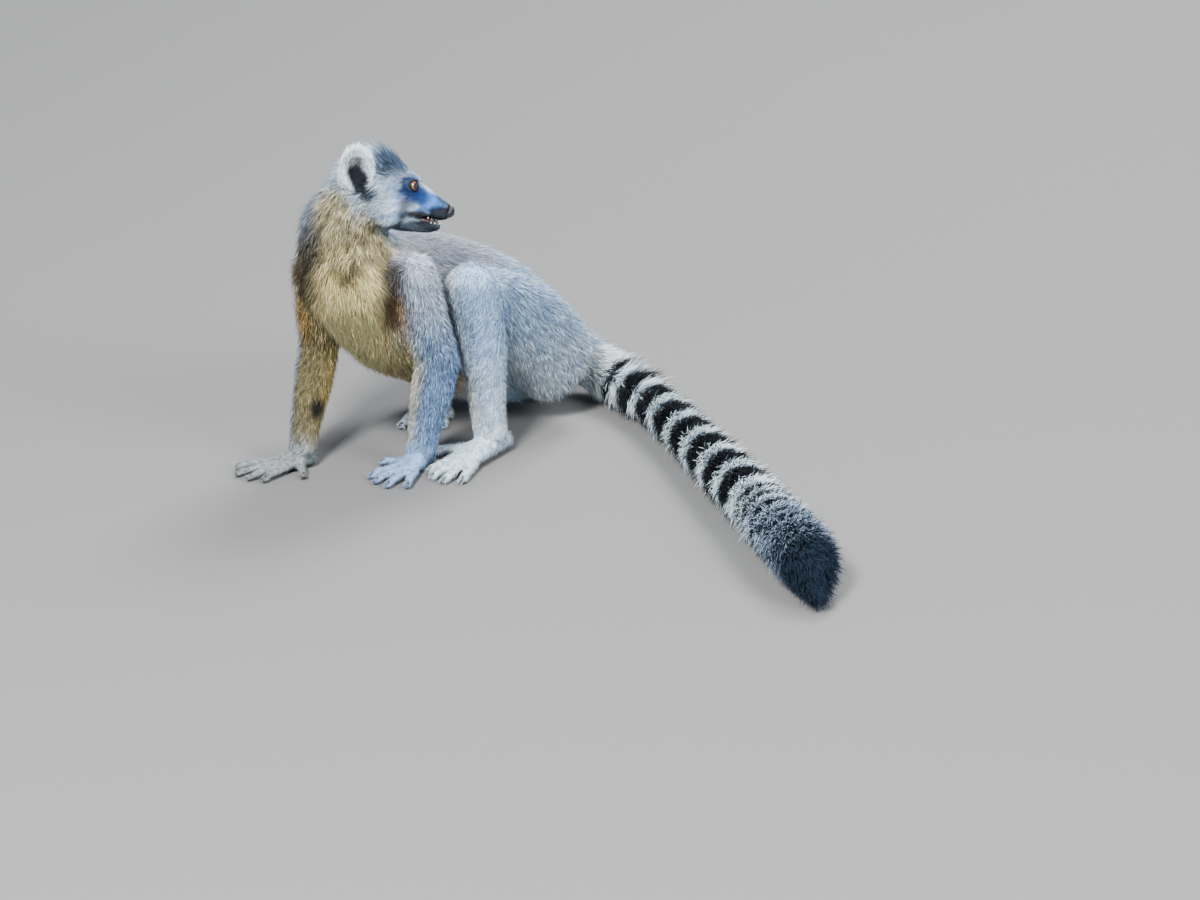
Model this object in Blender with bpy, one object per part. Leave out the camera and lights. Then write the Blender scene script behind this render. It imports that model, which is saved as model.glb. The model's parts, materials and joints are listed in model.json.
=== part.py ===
"""A life-size ring-tailed lemur, sitting on the floor on its rump with straight arms,
its knees raised beside the trunk, its head turned back over the left shoulder and its
tail laid out along the floor.

The body and each limb are lofted from named joints and radii, and each is fused by a voxel
remesh. The limbs are let into the body, everything is set on small flats at floor level,
and thin cuts part the body and the limbs into the pieces that a person would name.
Dimensions are in millimetres, out to the tips of the coat, and MM turns them into metres.

Axes while modelling: +X is to the animal's left and rear, +Y to its right and rear and
+Z up, so it faces -X-Y. At the end the origin moves to the bottom centre of its box.
"""

import math

import bmesh
import bpy
from mathutils import Matrix, Vector

MM = 0.001
CUT = 0.45  # width of each thin cut
FIT = 0.7  # gap left round a limb that is let into the body
VOXEL = 1.6
SMOOTH_STEPS = 16
BODY_TRIANGLES, ARM_TRIANGLES, THIGH_TRIANGLES, SHIN_TRIANGLES = 5200, 1300, 600, 1000
TOTAL_TRIANGLES = 9300
MEND_ROUNDS = 6
RING_SIDES = 20
RINGS_PER_SPAN = 5
CAP_RINGS = 4
UP = Vector((0, 0, 1))

# The pelvis, and the level directions forwards and to the left of it and of the chest.
HEADING = math.radians(225)
FORWARD = Vector((math.cos(HEADING), math.sin(HEADING), 0))
LEFTWARD = Vector((-FORWARD.y, FORWARD.x, 0))
CHEST_LEFTWARD = Vector((0.951, -0.310, 0)).normalized()
PELVIS = Vector((104, 214, 66))
THIGH_INNER = 32  # how far the inner side of each thigh is from the middle of the pelvis

# Head: the point midway between the eyes, the way the mouth points and the sideways tilt.
HEAD_AT = Vector((1, 50, 259.5))
HEAD_FORWARD = Vector((0.985, -0.137, -0.10)).normalized()
HEAD_TILT = math.radians(21)
EYE_RADIUS = 7.6
EYE_AT = Vector((-1.5, 13.4, 0))
EYE_LOOK = Vector((0.79, 0.60, 0.08)).normalized()
EYE_GAP = 0.4

# Joints of the limbs, each with the radius of the limb there.
ARMS = {
    "left": {
        "shoulder": (Vector((0, 32, 180)), 25),
        "elbow": (Vector((23, 38, 99)), 20),
        "wrist": (Vector((7, 34, 20)), 12.5),
        "pointing": Vector((-0.55, -0.84, 0)),
        "thumb_side": -1,
        "thumb_turn": 66,
    },
    "right": {
        "shoulder": (Vector((-84, 60, 178)), 25),
        "elbow": (Vector((-84, 72, 102)), 18.5),
        "wrist": (Vector((-100, 36, 20)), 11.5),
        "pointing": Vector((-0.84, -0.54, 0)),
        "thumb_side": 1,
        "thumb_turn": 66,
    },
}
LEGS = {
    "left": {
        "hip": (Vector((128, 173, 64)), 46),
        "knee": (Vector((52, 71, 162)), 25),
        "ankle": (Vector((69, 66, 26)), 15),
        "pointing": Vector((-0.54, -0.84, 0)),
        "big_toe_side": -1,
        "big_toe_turn": 52,
    },
    "right": {
        "hip": (Vector((63, 238, 66)), 41),
        "knee": (Vector((-50, 168, 149)), 25),
        "ankle": (Vector((16, 207, 27)), 15),
        "pointing": Vector((-0.12, -0.99, 0)),
        "big_toe_side": 1,
        "big_toe_turn": 14,
    },
}

# Tail: where its middle runs over the floor, and the radius of its coat at each point.
TAIL_ROUTE = [
    (116, 226), (150, 230), (184, 206), (213, 157), (238, 92), (260, 22), (281, -48),
    (303, -122), (326, -200), (345, -270), (353, -318),
]
TAIL_RADII = [31, 26.5, 24, 22, 21.5, 23, 25, 26.5, 28.5, 28, 11]
TAIL_ROOT_HEIGHTS = [55, 36]
TAIL_SINK = 1.2  # how far the round of the tail dips below the floor before it is trimmed
TAIL_CUTS = [0.075, 0.22, 0.38, 0.54, 0.70, 0.86]

HAND = {
    "heel": 7, "length": 27, "width": 12.5, "height": 8.5, "digit": 3.8, "thumb_radius": 4.0,
    "digits": [(1, 19, 29), (0.36, 7, 35), (-0.32, -6, 38), (-1, -22, 33)],
    "thumb": (0.20, 27),
}
FOOT = {
    "heel": 18, "length": 52, "width": 14.5, "height": 10.5, "digit": 4.3, "thumb_radius": 5.6,
    "digits": [(1, 12, 28), (0.36, 4, 35), (-0.32, -6, 38), (-1, -17, 33)],
    "thumb": (0.12, 42),
}

COLOURS = {
    "grey_coat": ((0.36, 0.37, 0.41), 0.9),
    "pale_coat": ((0.74, 0.70, 0.60), 0.9),
    "ringed_coat": ((0.22, 0.22, 0.24), 0.9),
    "face_coat": ((0.62, 0.63, 0.65), 0.85),
    "paw_skin": ((0.30, 0.31, 0.34), 0.7),
    "nose_skin": ((0.02, 0.02, 0.025), 0.45),
    "eye": ((0.62, 0.24, 0.05), 0.1),
}


def clear_scene():
    for obj in list(bpy.data.objects):
        bpy.data.objects.remove(obj)


def head_frame():
    """The matrix from the head's own axes (forward, left, up) to the model's."""
    right = HEAD_FORWARD.cross(UP).normalized()
    level_up = right.cross(HEAD_FORWARD)
    up = level_up * math.cos(HEAD_TILT) - right * math.sin(HEAD_TILT)
    left = up.cross(HEAD_FORWARD)
    turn = Matrix((HEAD_FORWARD, left, up)).transposed().to_4x4()
    return Matrix.Translation(HEAD_AT) @ turn


def smooth_between(values, span, share):
    """A Catmull-Rom value between values[span] and values[span + 1]."""
    last = len(values) - 1
    a, b = values[max(span - 1, 0)], values[span]
    c, d = values[span + 1], values[min(span + 2, last)]
    s2, s3 = share * share, share * share * share
    return (b * 2 + (c - a) * share + (a * 2 - b * 5 + c * 4 - d) * s2
            + (b * 3 - a - c * 3 + d) * s3) * 0.5


def sampled(values):
    """Values read evenly along a smooth curve through the given ones."""
    found = [smooth_between(values, span, k / RINGS_PER_SPAN)
             for span in range(len(values) - 1) for k in range(RINGS_PER_SPAN)]
    return found + [values[-1]]


def mesh_object(name, shape):
    """A new object that holds the finished bmesh."""
    mesh = bpy.data.meshes.new(name)
    shape.to_mesh(mesh)
    shape.free()
    obj = bpy.data.objects.new(name, mesh)
    bpy.context.scene.collection.objects.link(obj)
    return obj


def loft(name, points, widths, heights, side, side_end=None, frame=None):
    """A closed tube through the points, elliptical, with half-widths along the side
    direction and half-heights across it, and a rounded cap at each end."""
    frame = frame or Matrix.Identity(4)
    line = sampled([frame @ Vector(p) for p in points])
    half_w, half_h = sampled(list(widths)), sampled(list(heights))
    side, side_end = Vector(side), Vector(side_end or side)
    turn = frame.to_3x3()
    rings = []
    for i, centre in enumerate(line):
        ahead = (line[min(i + 1, len(line) - 1)] - line[max(i - 1, 0)]).normalized()
        wanted = turn @ side.lerp(side_end, i / (len(line) - 1))
        across = (wanted - ahead * wanted.dot(ahead)).normalized()
        rings.append((centre, across, ahead.cross(across), half_w[i], half_h[i]))
    for end, sign in ((0, -1), (-1, 1)):
        centre, across, over, w, h = rings[end]
        ahead = across.cross(over)
        cap = []
        for k in range(1, CAP_RINGS + 1):
            angle = math.pi / 2 * k / (CAP_RINGS + 0.3)
            reach = sign * min(w, h) * 0.8 * math.sin(angle)
            shrink = math.cos(angle)
            cap.append((centre + ahead * reach, across, over, w * shrink, h * shrink))
        rings = rings + cap if sign > 0 else cap[::-1] + rings
    return ring_mesh(name, rings)


def ring_mesh(name, rings):
    """One closed mesh object skinned over elliptical rings."""
    shape = bmesh.new()
    loops = []
    for centre, across, over, w, h in rings:
        loop = []
        for k in range(RING_SIDES):
            a = 2 * math.pi * k / RING_SIDES
            spot = centre + across * (w * math.cos(a)) + over * (h * math.sin(a))
            loop.append(shape.verts.new(spot * MM))
        loops.append(loop)
    for near, far in zip(loops, loops[1:]):
        for k in range(RING_SIDES):
            after = (k + 1) % RING_SIDES
            shape.faces.new((near[k], near[after], far[after], far[k]))
    shape.faces.new(loops[0][::-1])
    shape.faces.new(loops[-1])
    bmesh.ops.recalc_face_normals(shape, faces=shape.faces)
    return mesh_object(name, shape)


def ball(name, centre, radii, frame=None, segments=24):
    """An ellipsoid with its radii along the frame's axes."""
    shape = bmesh.new()
    bmesh.ops.create_uvsphere(shape, u_segments=segments, v_segments=segments // 2, radius=1)
    frame = frame or Matrix.Identity(4)
    place = frame @ Matrix.Translation(centre) @ Matrix.Diagonal((*radii, 1))
    bmesh.ops.transform(shape, matrix=Matrix.Scale(MM, 4) @ place, verts=shape.verts)
    return mesh_object(name, shape)


def block(name, centre, normal, along, half_sizes):
    """A box with half sizes along, across and square to its face, in that order."""
    normal = Vector(normal).normalized()
    along = Vector(along)
    along = (along - normal * along.dot(normal)).normalized()
    turn = Matrix((along, normal.cross(along), normal)).transposed().to_4x4()
    shape = bmesh.new()
    bmesh.ops.create_cube(shape, size=2)
    place = Matrix.Scale(MM, 4) @ Matrix.Translation(centre) @ turn
    place = place @ Matrix.Diagonal((*half_sizes, 1))
    bmesh.ops.transform(shape, matrix=place, verts=shape.verts)
    return mesh_object(name, shape)


def trunk():
    """The back and ribs, the hanging belly, the chest between the arms and the rump."""
    back = loft(
        "back",
        [(-50, 42, 184), (-42, 58, 172), (-20, 88, 156), (18, 128, 136), (58, 168, 108),
         (86, 196, 80), (112, 222, 56)],
        (34, 41, 42, 42, 42, 42, 36), (34, 44, 50, 54, 54, 52, 40),
        CHEST_LEFTWARD, LEFTWARD)
    belly = loft(
        "belly",
        [(-50, 44, 144), (-22, 84, 108), (14, 124, 82), (52, 162, 58), (88, 198, 44)],
        (30, 37, 41, 42, 40), (30, 34, 36, 38, 38), CHEST_LEFTWARD, LEFTWARD)
    chest = loft(
        "chest", [(-56, 30, 198), (-58, 24, 174), (-52, 32, 148)],
        (32, 40, 32), (22, 30, 24), CHEST_LEFTWARD)
    rump = ball("rump", PELVIS - FORWARD * 12 - UP * 20, (42, 42, 47))
    return [back, belly, chest, rump]


def neck():
    return loft(
        "neck", [(-42, 47, 260), (-54, 46, 242), (-61, 52, 218), (-56, 56, 188)],
        (25, 34, 41, 44), (22, 27, 37, 41), (1, 0, 0.15))


def head(frame):
    """Skull and muzzle, lower jaw, cheeks and brows."""
    skull = loft(
        "skull",
        [(-53, 0, -5), (-46, 0, -5), (-34, 0, -4.5), (-20, 0, -8), (-8, 0, -10.5),
         (3, 0, -12.3), (11, 0, -13.3), (20, 0, -15.2), (31, 0, -17.0), (37, 0, -17.2)],
        (19, 25, 28.5, 28, 24.5, 18.5, 13.5, 10.2, 8.0, 5.8),
        (18, 26, 31, 30, 25.5, 18.8, 14.8, 11.2, 7.6, 5.4), (0, 1, 0), frame=frame)
    jaw = loft(
        "jaw",
        [(-24, 0, -27), (-8, 0, -32), (8, 0, -33.8), (20, 0, -33.6), (28, 0, -31.6)],
        (21, 16.5, 10.2, 7.2, 4.6), (12.5, 8.6, 5.8, 4.6, 3.4), (0, 1, 0), frame=frame)
    made = [skull, jaw]
    for side in (1, -1):
        made.append(ball("brow", (0, side * 12.5, 6.5), (8, 8, 5), frame))
        made.append(ball("cheek", (-18, side * 18, -22), (17, 12, 17), frame))
        made.append(ball("lip", (25, side * 5, -20.5), (13, 5.6, 5.6), frame))
        made.append(ear(frame, side))
    return made


def ear(frame, side):
    """A cupped ear, upright beside the crown, open to the side and a little forwards."""
    base, tip = Vector((-41, side * 25, -16)), Vector((-51, side * 40, 22))
    along = (tip - base).normalized()
    opening = Vector((0.50, side * 0.86, -0.05))
    opening = (opening - along * opening.dot(along)).normalized()
    turn = Matrix((opening.cross(along), opening, along)).transposed().to_4x4()
    place = frame @ Matrix.Translation(base.lerp(tip, 0.5)) @ turn
    cup = ball("ear", (0, 0, 0), (18, 9, 23), place)
    hollow = ball("hollow", (0, 7.4, 2), (13, 8.8, 17), place)
    apply_boolean(cup, hollow, "DIFFERENCE")
    return cup


def digit(name, knuckle, pointing, length, radius):
    """A finger or toe: arched a little, with a broad pad under its tip."""
    spots = [(0, knuckle.z), (0.38, knuckle.z * 0.92), (0.72, radius + 1.2), (1, radius - 0.7)]
    points = [knuckle + pointing * (length * share) + UP * (height - knuckle.z)
              for share, height in spots]
    radii = [radius * 1.1, radius, radius * 0.92, radius * 0.98]
    return loft(name, points, radii, [r * 0.92 for r in radii], UP.cross(pointing))


def paw(name, start, pointing, thumb_side, thumb_turn, sizes):
    """A hand or foot: a flat sole out to the knuckles, four digits and a thumb."""
    pointing = pointing.normalized()
    across = UP.cross(pointing) * thumb_side
    width, height, length = sizes["width"], sizes["height"], sizes["length"]
    floor = Vector((start.x, start.y, 0))
    made = [loft(
        name,
        [floor - pointing * sizes["heel"] + UP * (height * 0.95),
         floor + pointing * (length * 0.35) + UP * (height * 0.95),
         floor + pointing * (length * 0.92) + UP * (height * 0.68)],
        (width * 0.78, width * 0.88, width), (height, height * 0.98, height * 0.72), across)]
    for place, turn, reach in sizes["digits"]:
        aim = Matrix.Rotation(math.radians(turn) * thumb_side, 3, "Z") @ pointing
        knuckle = floor + pointing * (length * (0.97 - 0.10 * abs(place)))
        knuckle += across * (place * width * 0.80) + UP * (height * 0.70)
        made.append(digit(name + "_digit", knuckle, aim, reach, sizes["digit"]))
    back, reach = sizes["thumb"]
    aim = Matrix.Rotation(math.radians(thumb_turn) * thumb_side, 3, "Z") @ pointing
    root = floor + pointing * (length * back) + across * (width * 0.5) + UP * (height * 0.75)
    made.append(digit(name + "_thumb", root, aim, reach, sizes["thumb_radius"]))
    return made


def arm(side):
    joints = ARMS[side]
    shoulder, r_shoulder = joints["shoulder"]
    elbow, r_elbow = joints["elbow"]
    wrist, r_wrist = joints["wrist"]
    upper = loft(
        f"upper_arm_{side}",
        [shoulder + (shoulder - elbow) * 0.04, shoulder.lerp(elbow, 0.45), elbow],
        (r_shoulder, 22.5, r_elbow), (r_shoulder * 1.08, 23, r_elbow), CHEST_LEFTWARD)
    lower = loft(
        f"forearm_{side}",
        [elbow + UP * 3, elbow.lerp(wrist, 0.35), elbow.lerp(wrist, 0.68), wrist - UP * 5],
        (r_elbow, r_elbow, r_elbow * 0.84, r_wrist * 1.05),
        (r_elbow, r_elbow, r_elbow * 0.82, r_wrist), CHEST_LEFTWARD)
    return [upper, lower] + paw(
        f"hand_{side}", wrist, joints["pointing"], joints["thumb_side"], joints["thumb_turn"],
        HAND)


def thigh(side):
    hip, r_hip = LEGS[side]["hip"]
    knee, r_knee = LEGS[side]["knee"]
    return [loft(
        f"thigh_{side}",
        [hip - UP * 10, hip.lerp(knee, 0.35), hip.lerp(knee, 0.70), hip.lerp(knee, 0.87)],
        (r_hip * 0.72, 30, 26, r_knee * 0.96), (r_hip * 0.96, 43, 34, r_knee * 1.08), LEFTWARD)]


def lower_leg(side):
    joints = LEGS[side]
    hip = joints["hip"][0]
    knee, r_knee = joints["knee"]
    ankle, r_ankle = joints["ankle"]
    calf = knee.lerp(ankle, 0.38) + (hip - knee).normalized() * 6
    shin = loft(
        f"shin_{side}",
        [knee, calf, knee.lerp(ankle, 0.70) + FORWARD * -2, ankle - UP * 4],
        (r_knee * 0.94, 22, 18, r_ankle * 0.95), (r_knee, 25, 19.5, r_ankle), LEFTWARD)
    return [shin] + paw(
        f"foot_{side}", ankle, joints["pointing"], joints["big_toe_side"],
        joints["big_toe_turn"], FOOT)


def tail_points():
    """The middle of the tail: down from the rump, then lying along the floor."""
    heights = TAIL_ROOT_HEIGHTS + [r - TAIL_SINK for r in TAIL_RADII[len(TAIL_ROOT_HEIGHTS):]]
    return [Vector((x, y, z)) for (x, y), z in zip(TAIL_ROUTE, heights)]


def tail():
    return loft("tail", tail_points(), TAIL_RADII, TAIL_RADII, UP)


def tail_spot(share):
    """The point and direction at a share of the tail's length."""
    line = sampled(tail_points())
    steps = [(b - a).length for a, b in zip(line, line[1:])]
    wanted = share * sum(steps)
    for a, b, step in zip(line, line[1:], steps):
        if wanted <= step:
            return a.lerp(b, wanted / step), (b - a).normalized()
        wanted -= step
    return line[-1], (line[-1] - line[-2]).normalized()


def make_active(obj):
    bpy.ops.object.select_all(action="DESELECT")
    obj.select_set(True)
    bpy.context.view_layer.objects.active = obj


def apply_boolean(obj, cutter, operation):
    """Applies an exact Boolean, and removes the cutter."""
    modifier = obj.modifiers.new("cut", "BOOLEAN")
    modifier.object, modifier.operation = cutter, operation
    modifier.solver = "EXACT"
    make_active(obj)
    bpy.ops.object.modifier_apply(modifier=modifier.name)
    bpy.data.objects.remove(cutter)


def joined(objects, name):
    bpy.ops.object.select_all(action="DESELECT")
    for obj in objects:
        obj.select_set(True)
    bpy.context.view_layer.objects.active = objects[0]
    if len(objects) > 1:
        bpy.ops.object.join()
    objects[0].name = name
    return objects[0]


def fine_weight(spot, centres):
    """1 near the face, hands and feet, falling to 0 away from them."""
    nearest = min((spot - centre).length / reach for centre, reach in centres)
    return max(0.0, min(1.0, (1.25 - nearest) / 0.5))


def fine_places(frame):
    """The middle and reach of each place that keeps its small shapes."""
    places = [(frame @ Vector((8, 0, -14)) * MM, 0.045)]
    places += [(frame @ Vector((-50, side * 34, 12)) * MM, 0.028) for side in (1, -1)]
    for limb, at, reach in ((ARMS, "wrist", 0.055), (LEGS, "ankle", 0.080)):
        for joints in limb.values():
            spot = joints[at][0] * MM + joints["pointing"] * (reach / 2)
            places.append((Vector((spot.x, spot.y, 0.006)), reach))
    return places


def fused(pieces, name, frame, triangles):
    """Remeshes lofts into one skin, smooths it and thins its triangles."""
    body = joined(pieces, name)
    remesh = body.modifiers.new("fuse", "REMESH")
    remesh.mode, remesh.voxel_size = "VOXEL", VOXEL * MM
    bpy.ops.object.modifier_apply(modifier=remesh.name)
    places = fine_places(frame)
    soft = [1 - 0.85 * fine_weight(vertex.co, places) for vertex in body.data.vertices]
    group = body.vertex_groups.new(name="soft")
    for index, weight in enumerate(soft):
        group.add([index], weight, "REPLACE")
    smooth = body.modifiers.new("smooth", "SMOOTH")
    smooth.iterations, smooth.factor, smooth.vertex_group = SMOOTH_STEPS, 0.7, "soft"
    bpy.ops.object.modifier_apply(modifier=smooth.name)
    body.vertex_groups.clear()
    thin(body, triangles / (2 * len(body.data.polygons)))
    set_on_floor(body)
    return body


def thin(obj, ratio):
    """Thins the triangles of a mesh to a share of them."""
    modifier = obj.modifiers.new("thin", "DECIMATE")
    modifier.ratio, modifier.use_collapse_triangulate = ratio, True
    make_active(obj)
    bpy.ops.object.modifier_apply(modifier=modifier.name)


def mend(obj):
    """Closes what the thinning tore: takes out the faces round each torn edge and fills
    the hole they leave."""
    shape = bmesh.new()
    shape.from_mesh(obj.data)
    for _ in range(MEND_ROUNDS):
        torn = [edge for edge in shape.edges if not edge.is_manifold]
        if not torn:
            break
        faces = {face for edge in torn for vertex in edge.verts for face in vertex.link_faces}
        bmesh.ops.delete(shape, geom=list(faces), context="FACES")
        loose = [vertex for vertex in shape.verts if not vertex.link_faces]
        bmesh.ops.delete(shape, geom=loose, context="VERTS")
        rim = [edge for edge in shape.edges if edge.is_boundary]
        filled = bmesh.ops.holes_fill(shape, edges=rim, sides=0)["faces"]
        bmesh.ops.triangulate(shape, faces=filled)
    bmesh.ops.recalc_face_normals(shape, faces=shape.faces)
    shape.to_mesh(obj.data)
    shape.free()


def set_on_floor(body):
    """Trims what dips under the floor, which leaves small flats at one level."""
    under = block("under", (120, 0, -100), UP, (1, 0, 0), (500, 500, 100))
    apply_boolean(body, under, "DIFFERENCE")


def let_in(body, limb):
    """Makes room in the body for a limb, with a small gap all round."""
    room = limb.copy()
    room.data = limb.data.copy()
    bpy.context.scene.collection.objects.link(room)
    swell = room.modifiers.new("swell", "DISPLACE")
    swell.strength, swell.mid_level = FIT * MM, 0
    make_active(room)
    bpy.ops.object.modifier_apply(modifier=swell.name)
    apply_boolean(body, room, "DIFFERENCE")


def cut(body, centre, normal, along, half_length, half_width):
    """Parts the body by a thin plate, square to the normal."""
    plate = block("plate", centre, normal, along, (half_length, half_width, CUT / 2))
    apply_boolean(body, plate, "DIFFERENCE")


def cut_arm(limb, side):
    shoulder, elbow, wrist = (ARMS[side][joint][0] for joint in ("shoulder", "elbow", "wrist"))
    bend = (elbow - shoulder).normalized() + (wrist - elbow).normalized()
    cut(limb, elbow, bend, CHEST_LEFTWARD, 40, 40)
    cut(limb, wrist + UP * 4, elbow - wrist, CHEST_LEFTWARD, 30, 30)


def trim_thigh(limb, way):
    """Takes off what of the thigh would lie in the middle of the pelvis."""
    middle = PELVIS + LEFTWARD * (way * (THIGH_INNER - 60)) + FORWARD * 40
    inner = block("inner", middle, LEFTWARD, FORWARD, (120, 160, 60))
    apply_boolean(limb, inner, "DIFFERENCE")


def cut_body(body, frame):
    """Parts the head, neck, chest, belly, rump and the lengths of the tail."""
    cut(body, (-45, 50, 243), (0.70, 0.24, 0.66), (0, 1, 0), 56, 46)
    cut(body, (-60, 50, 212), (0.16, -0.10, 0.98), (1, 0, 0), 70, 70)
    for spot in ((-22, 88, 128), (46, 157, 92)):
        cut(body, spot, (-0.62, -0.62, 0.42), LEFTWARD, 70, 92)
    for share in TAIL_CUTS:
        spot, ahead = tail_spot(share)
        cut(body, spot, ahead, UP, 44, 44)
    turn = frame.to_3x3()
    cut(body, frame @ Vector((36, 0, -17)), turn @ Vector((1, 0, -0.12)), turn @ UP, 10, 10)
    slot = block("slot", frame @ Vector((24, 0, -27.4)), turn @ UP, HEAD_FORWARD, (17, 14, 0.9))
    apply_boolean(body, slot, "DIFFERENCE")
    for side in (1, -1):
        root = frame @ Vector((-42, side * 26.5, 5))
        outward = turn @ Vector((-0.05, side * 0.97, 0.22))
        cut(body, root, outward, turn @ UP, 32, 24)
        lobe = frame @ Vector((-42, side * 38.5, -14))
        cut(body, lobe, turn @ Vector((-0.22, side * 0.30, 0.93)), HEAD_FORWARD, 28, 10)
        eye, look = eye_place(side)
        socket = ball("socket", eye, [EYE_RADIUS + EYE_GAP] * 3, frame)
        apply_boolean(body, socket, "DIFFERENCE")
        opening = ball("opening", eye + look * 8.4, (6.2, 6.2, 6.2), frame, 20)
        apply_boolean(body, opening, "DIFFERENCE")


def eye_place(side):
    """The middle of an eye and the way it looks, in the head's own axes."""
    mirror = Vector((1, side, 1))
    return EYE_AT * mirror, EYE_LOOK * mirror


def body_places(frame):
    """A point near the middle of each piece of the body."""
    places = {
        "head": (frame @ Vector((-14, 0, -10)), "face_coat"),
        "nose": (frame @ Vector((39, 0, -17)), "nose_skin"),
        "ear_left": (frame @ Vector((-47, 36, 6)), "face_coat"),
        "ear_right": (frame @ Vector((-47, -36, 6)), "face_coat"),
        "neck": (Vector((-60, 52, 226)), "pale_coat"),
        "chest": (Vector((-50, 52, 160)), "pale_coat"),
        "belly": (Vector((14, 124, 110)), "grey_coat"),
        "rump": (Vector((96, 204, 60)), "grey_coat"),
    }
    ends = [0.0] + TAIL_CUTS[1:] + [1.0]
    for number, (start, end) in enumerate(zip(ends, ends[1:]), 1):
        places[f"tail_{number}"] = (tail_spot((start + end) / 2)[0], "ringed_coat")
    return places


def limb_places(joints, names, ends):
    """A point near the middle of each piece of a limb, the last of them a paw."""
    places = {}
    for name, (start, end) in zip(names, zip(ends, ends[1:])):
        places[name] = (joints[start][0].lerp(joints[end][0], 0.5), "grey_coat")
    tip = joints[ends[-1]][0] + joints["pointing"] * 25
    tip.z = 8
    places[names[-1]] = (tip, "paw_skin")
    return places


def part_out(body, places):
    """Separates the cut pieces and names each after the place nearest its middle. Of two
    near one place the smaller is a crumb left by a cut, and is dropped."""
    make_active(body)
    bpy.ops.object.mode_set(mode="EDIT")
    bpy.ops.mesh.select_all(action="SELECT")
    bpy.ops.mesh.separate(type="LOOSE")
    bpy.ops.object.mode_set(mode="OBJECT")
    found = {}
    for obj in list(bpy.context.selected_objects):
        corners = [Vector(corner) for corner in obj.bound_box]
        middle = sum(corners, Vector()) / (8 * MM)
        name = min(places, key=lambda key: (places[key][0] - middle).length)
        rival = found.get(name)
        if rival is not None:
            crumb = min(obj, rival, key=lambda piece: len(piece.data.polygons))
            obj = rival if crumb is obj else obj
            bpy.data.objects.remove(crumb)
        found[name] = obj
    missing = set(places) - set(found)
    if missing:
        raise RuntimeError(f"no piece lies near {sorted(missing)}")
    for name, obj in found.items():
        obj.name = obj.data.name = name
        finish(obj, places[name][1])
    return list(found.values())


def finish(obj, colour_name):
    """Gives a piece its material and smooth shading."""
    material = bpy.data.materials.get(colour_name)
    if material is None:
        (red, green, blue), roughness = COLOURS[colour_name]
        material = bpy.data.materials.new(colour_name)
        material.use_nodes = True
        surface = material.node_tree.nodes["Principled BSDF"]
        surface.inputs["Base Color"].default_value = (red, green, blue, 1)
        surface.inputs["Roughness"].default_value = roughness
    obj.data.materials.clear()
    obj.data.materials.append(material)
    obj.data.shade_smooth()
    obj.data.set_sharp_from_angle(angle=math.radians(50))


def eyes(frame):
    made = []
    for name, side in (("eye_left", 1), ("eye_right", -1)):
        eye = ball(name, eye_place(side)[0], [EYE_RADIUS] * 3, frame, 16)
        finish(eye, "eye")
        made.append(eye)
    return made


def centre_on_floor(pieces):
    """Moves the origin to the bottom centre of the box round all the pieces."""
    spots = [obj.matrix_world @ vertex.co for obj in pieces for vertex in obj.data.vertices]
    low = Vector([min(spot[axis] for spot in spots) for axis in range(3)])
    high = Vector([max(spot[axis] for spot in spots) for axis in range(3)])
    middle = (low + high) / 2
    shift = Matrix.Translation((-middle.x, -middle.y, -low.z))
    for obj in pieces:
        obj.data.transform(shift)


def main():
    clear_scene()
    frame = head_frame()
    body = fused(trunk() + [neck(), tail()] + head(frame), "body", frame, BODY_TRIANGLES)
    pieces = []
    for side, way in (("left", 1), ("right", -1)):
        limb = fused(arm(side), f"arm_{side}", frame, ARM_TRIANGLES)
        let_in(body, limb)
        cut_arm(limb, side)
        names = [f"{part}_{side}" for part in ("upper_arm", "forearm", "hand")]
        pieces += part_out(limb, limb_places(ARMS[side], names, ("shoulder", "elbow", "wrist")))
        upper = fused(thigh(side), f"thigh_{side}", frame, THIGH_TRIANGLES)
        lower = fused(lower_leg(side), f"shin_{side}", frame, SHIN_TRIANGLES)
        trim_thigh(upper, way)
        let_in(upper, lower)
        let_in(body, lower)
        let_in(body, upper)
        pieces += part_out(upper, limb_places(LEGS[side], [f"thigh_{side}"], ("hip",)))
        ankle = LEGS[side]["ankle"][0]
        cut(lower, ankle + UP * 7, UP, LEFTWARD, 45, 45)
        names = [f"shin_{side}", f"foot_{side}"]
        pieces += part_out(lower, limb_places(LEGS[side], names, ("knee", "ankle")))
    cut_body(body, frame)
    pieces += part_out(body, body_places(frame))
    count = sum(len(polygon.vertices) - 2 for obj in pieces for polygon in obj.data.polygons)
    for obj in pieces:
        thin(obj, TOTAL_TRIANGLES / count)
        mend(obj)
    pieces += eyes(frame)
    centre_on_floor(pieces)


main()
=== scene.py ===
"""The looks of a life-size ring-tailed lemur: one skin with its folds, lids and markings,
a coat of solid tufts that lie as the hair does, eyes, nose, teeth, nails and whiskers."""

import json
import math

import bpy
import numpy as np
from bpy.props import FloatProperty, FloatVectorProperty, IntProperty, PointerProperty
from mathutils import Matrix, Vector, noise
from mathutils.bvhtree import BVHTree

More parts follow.
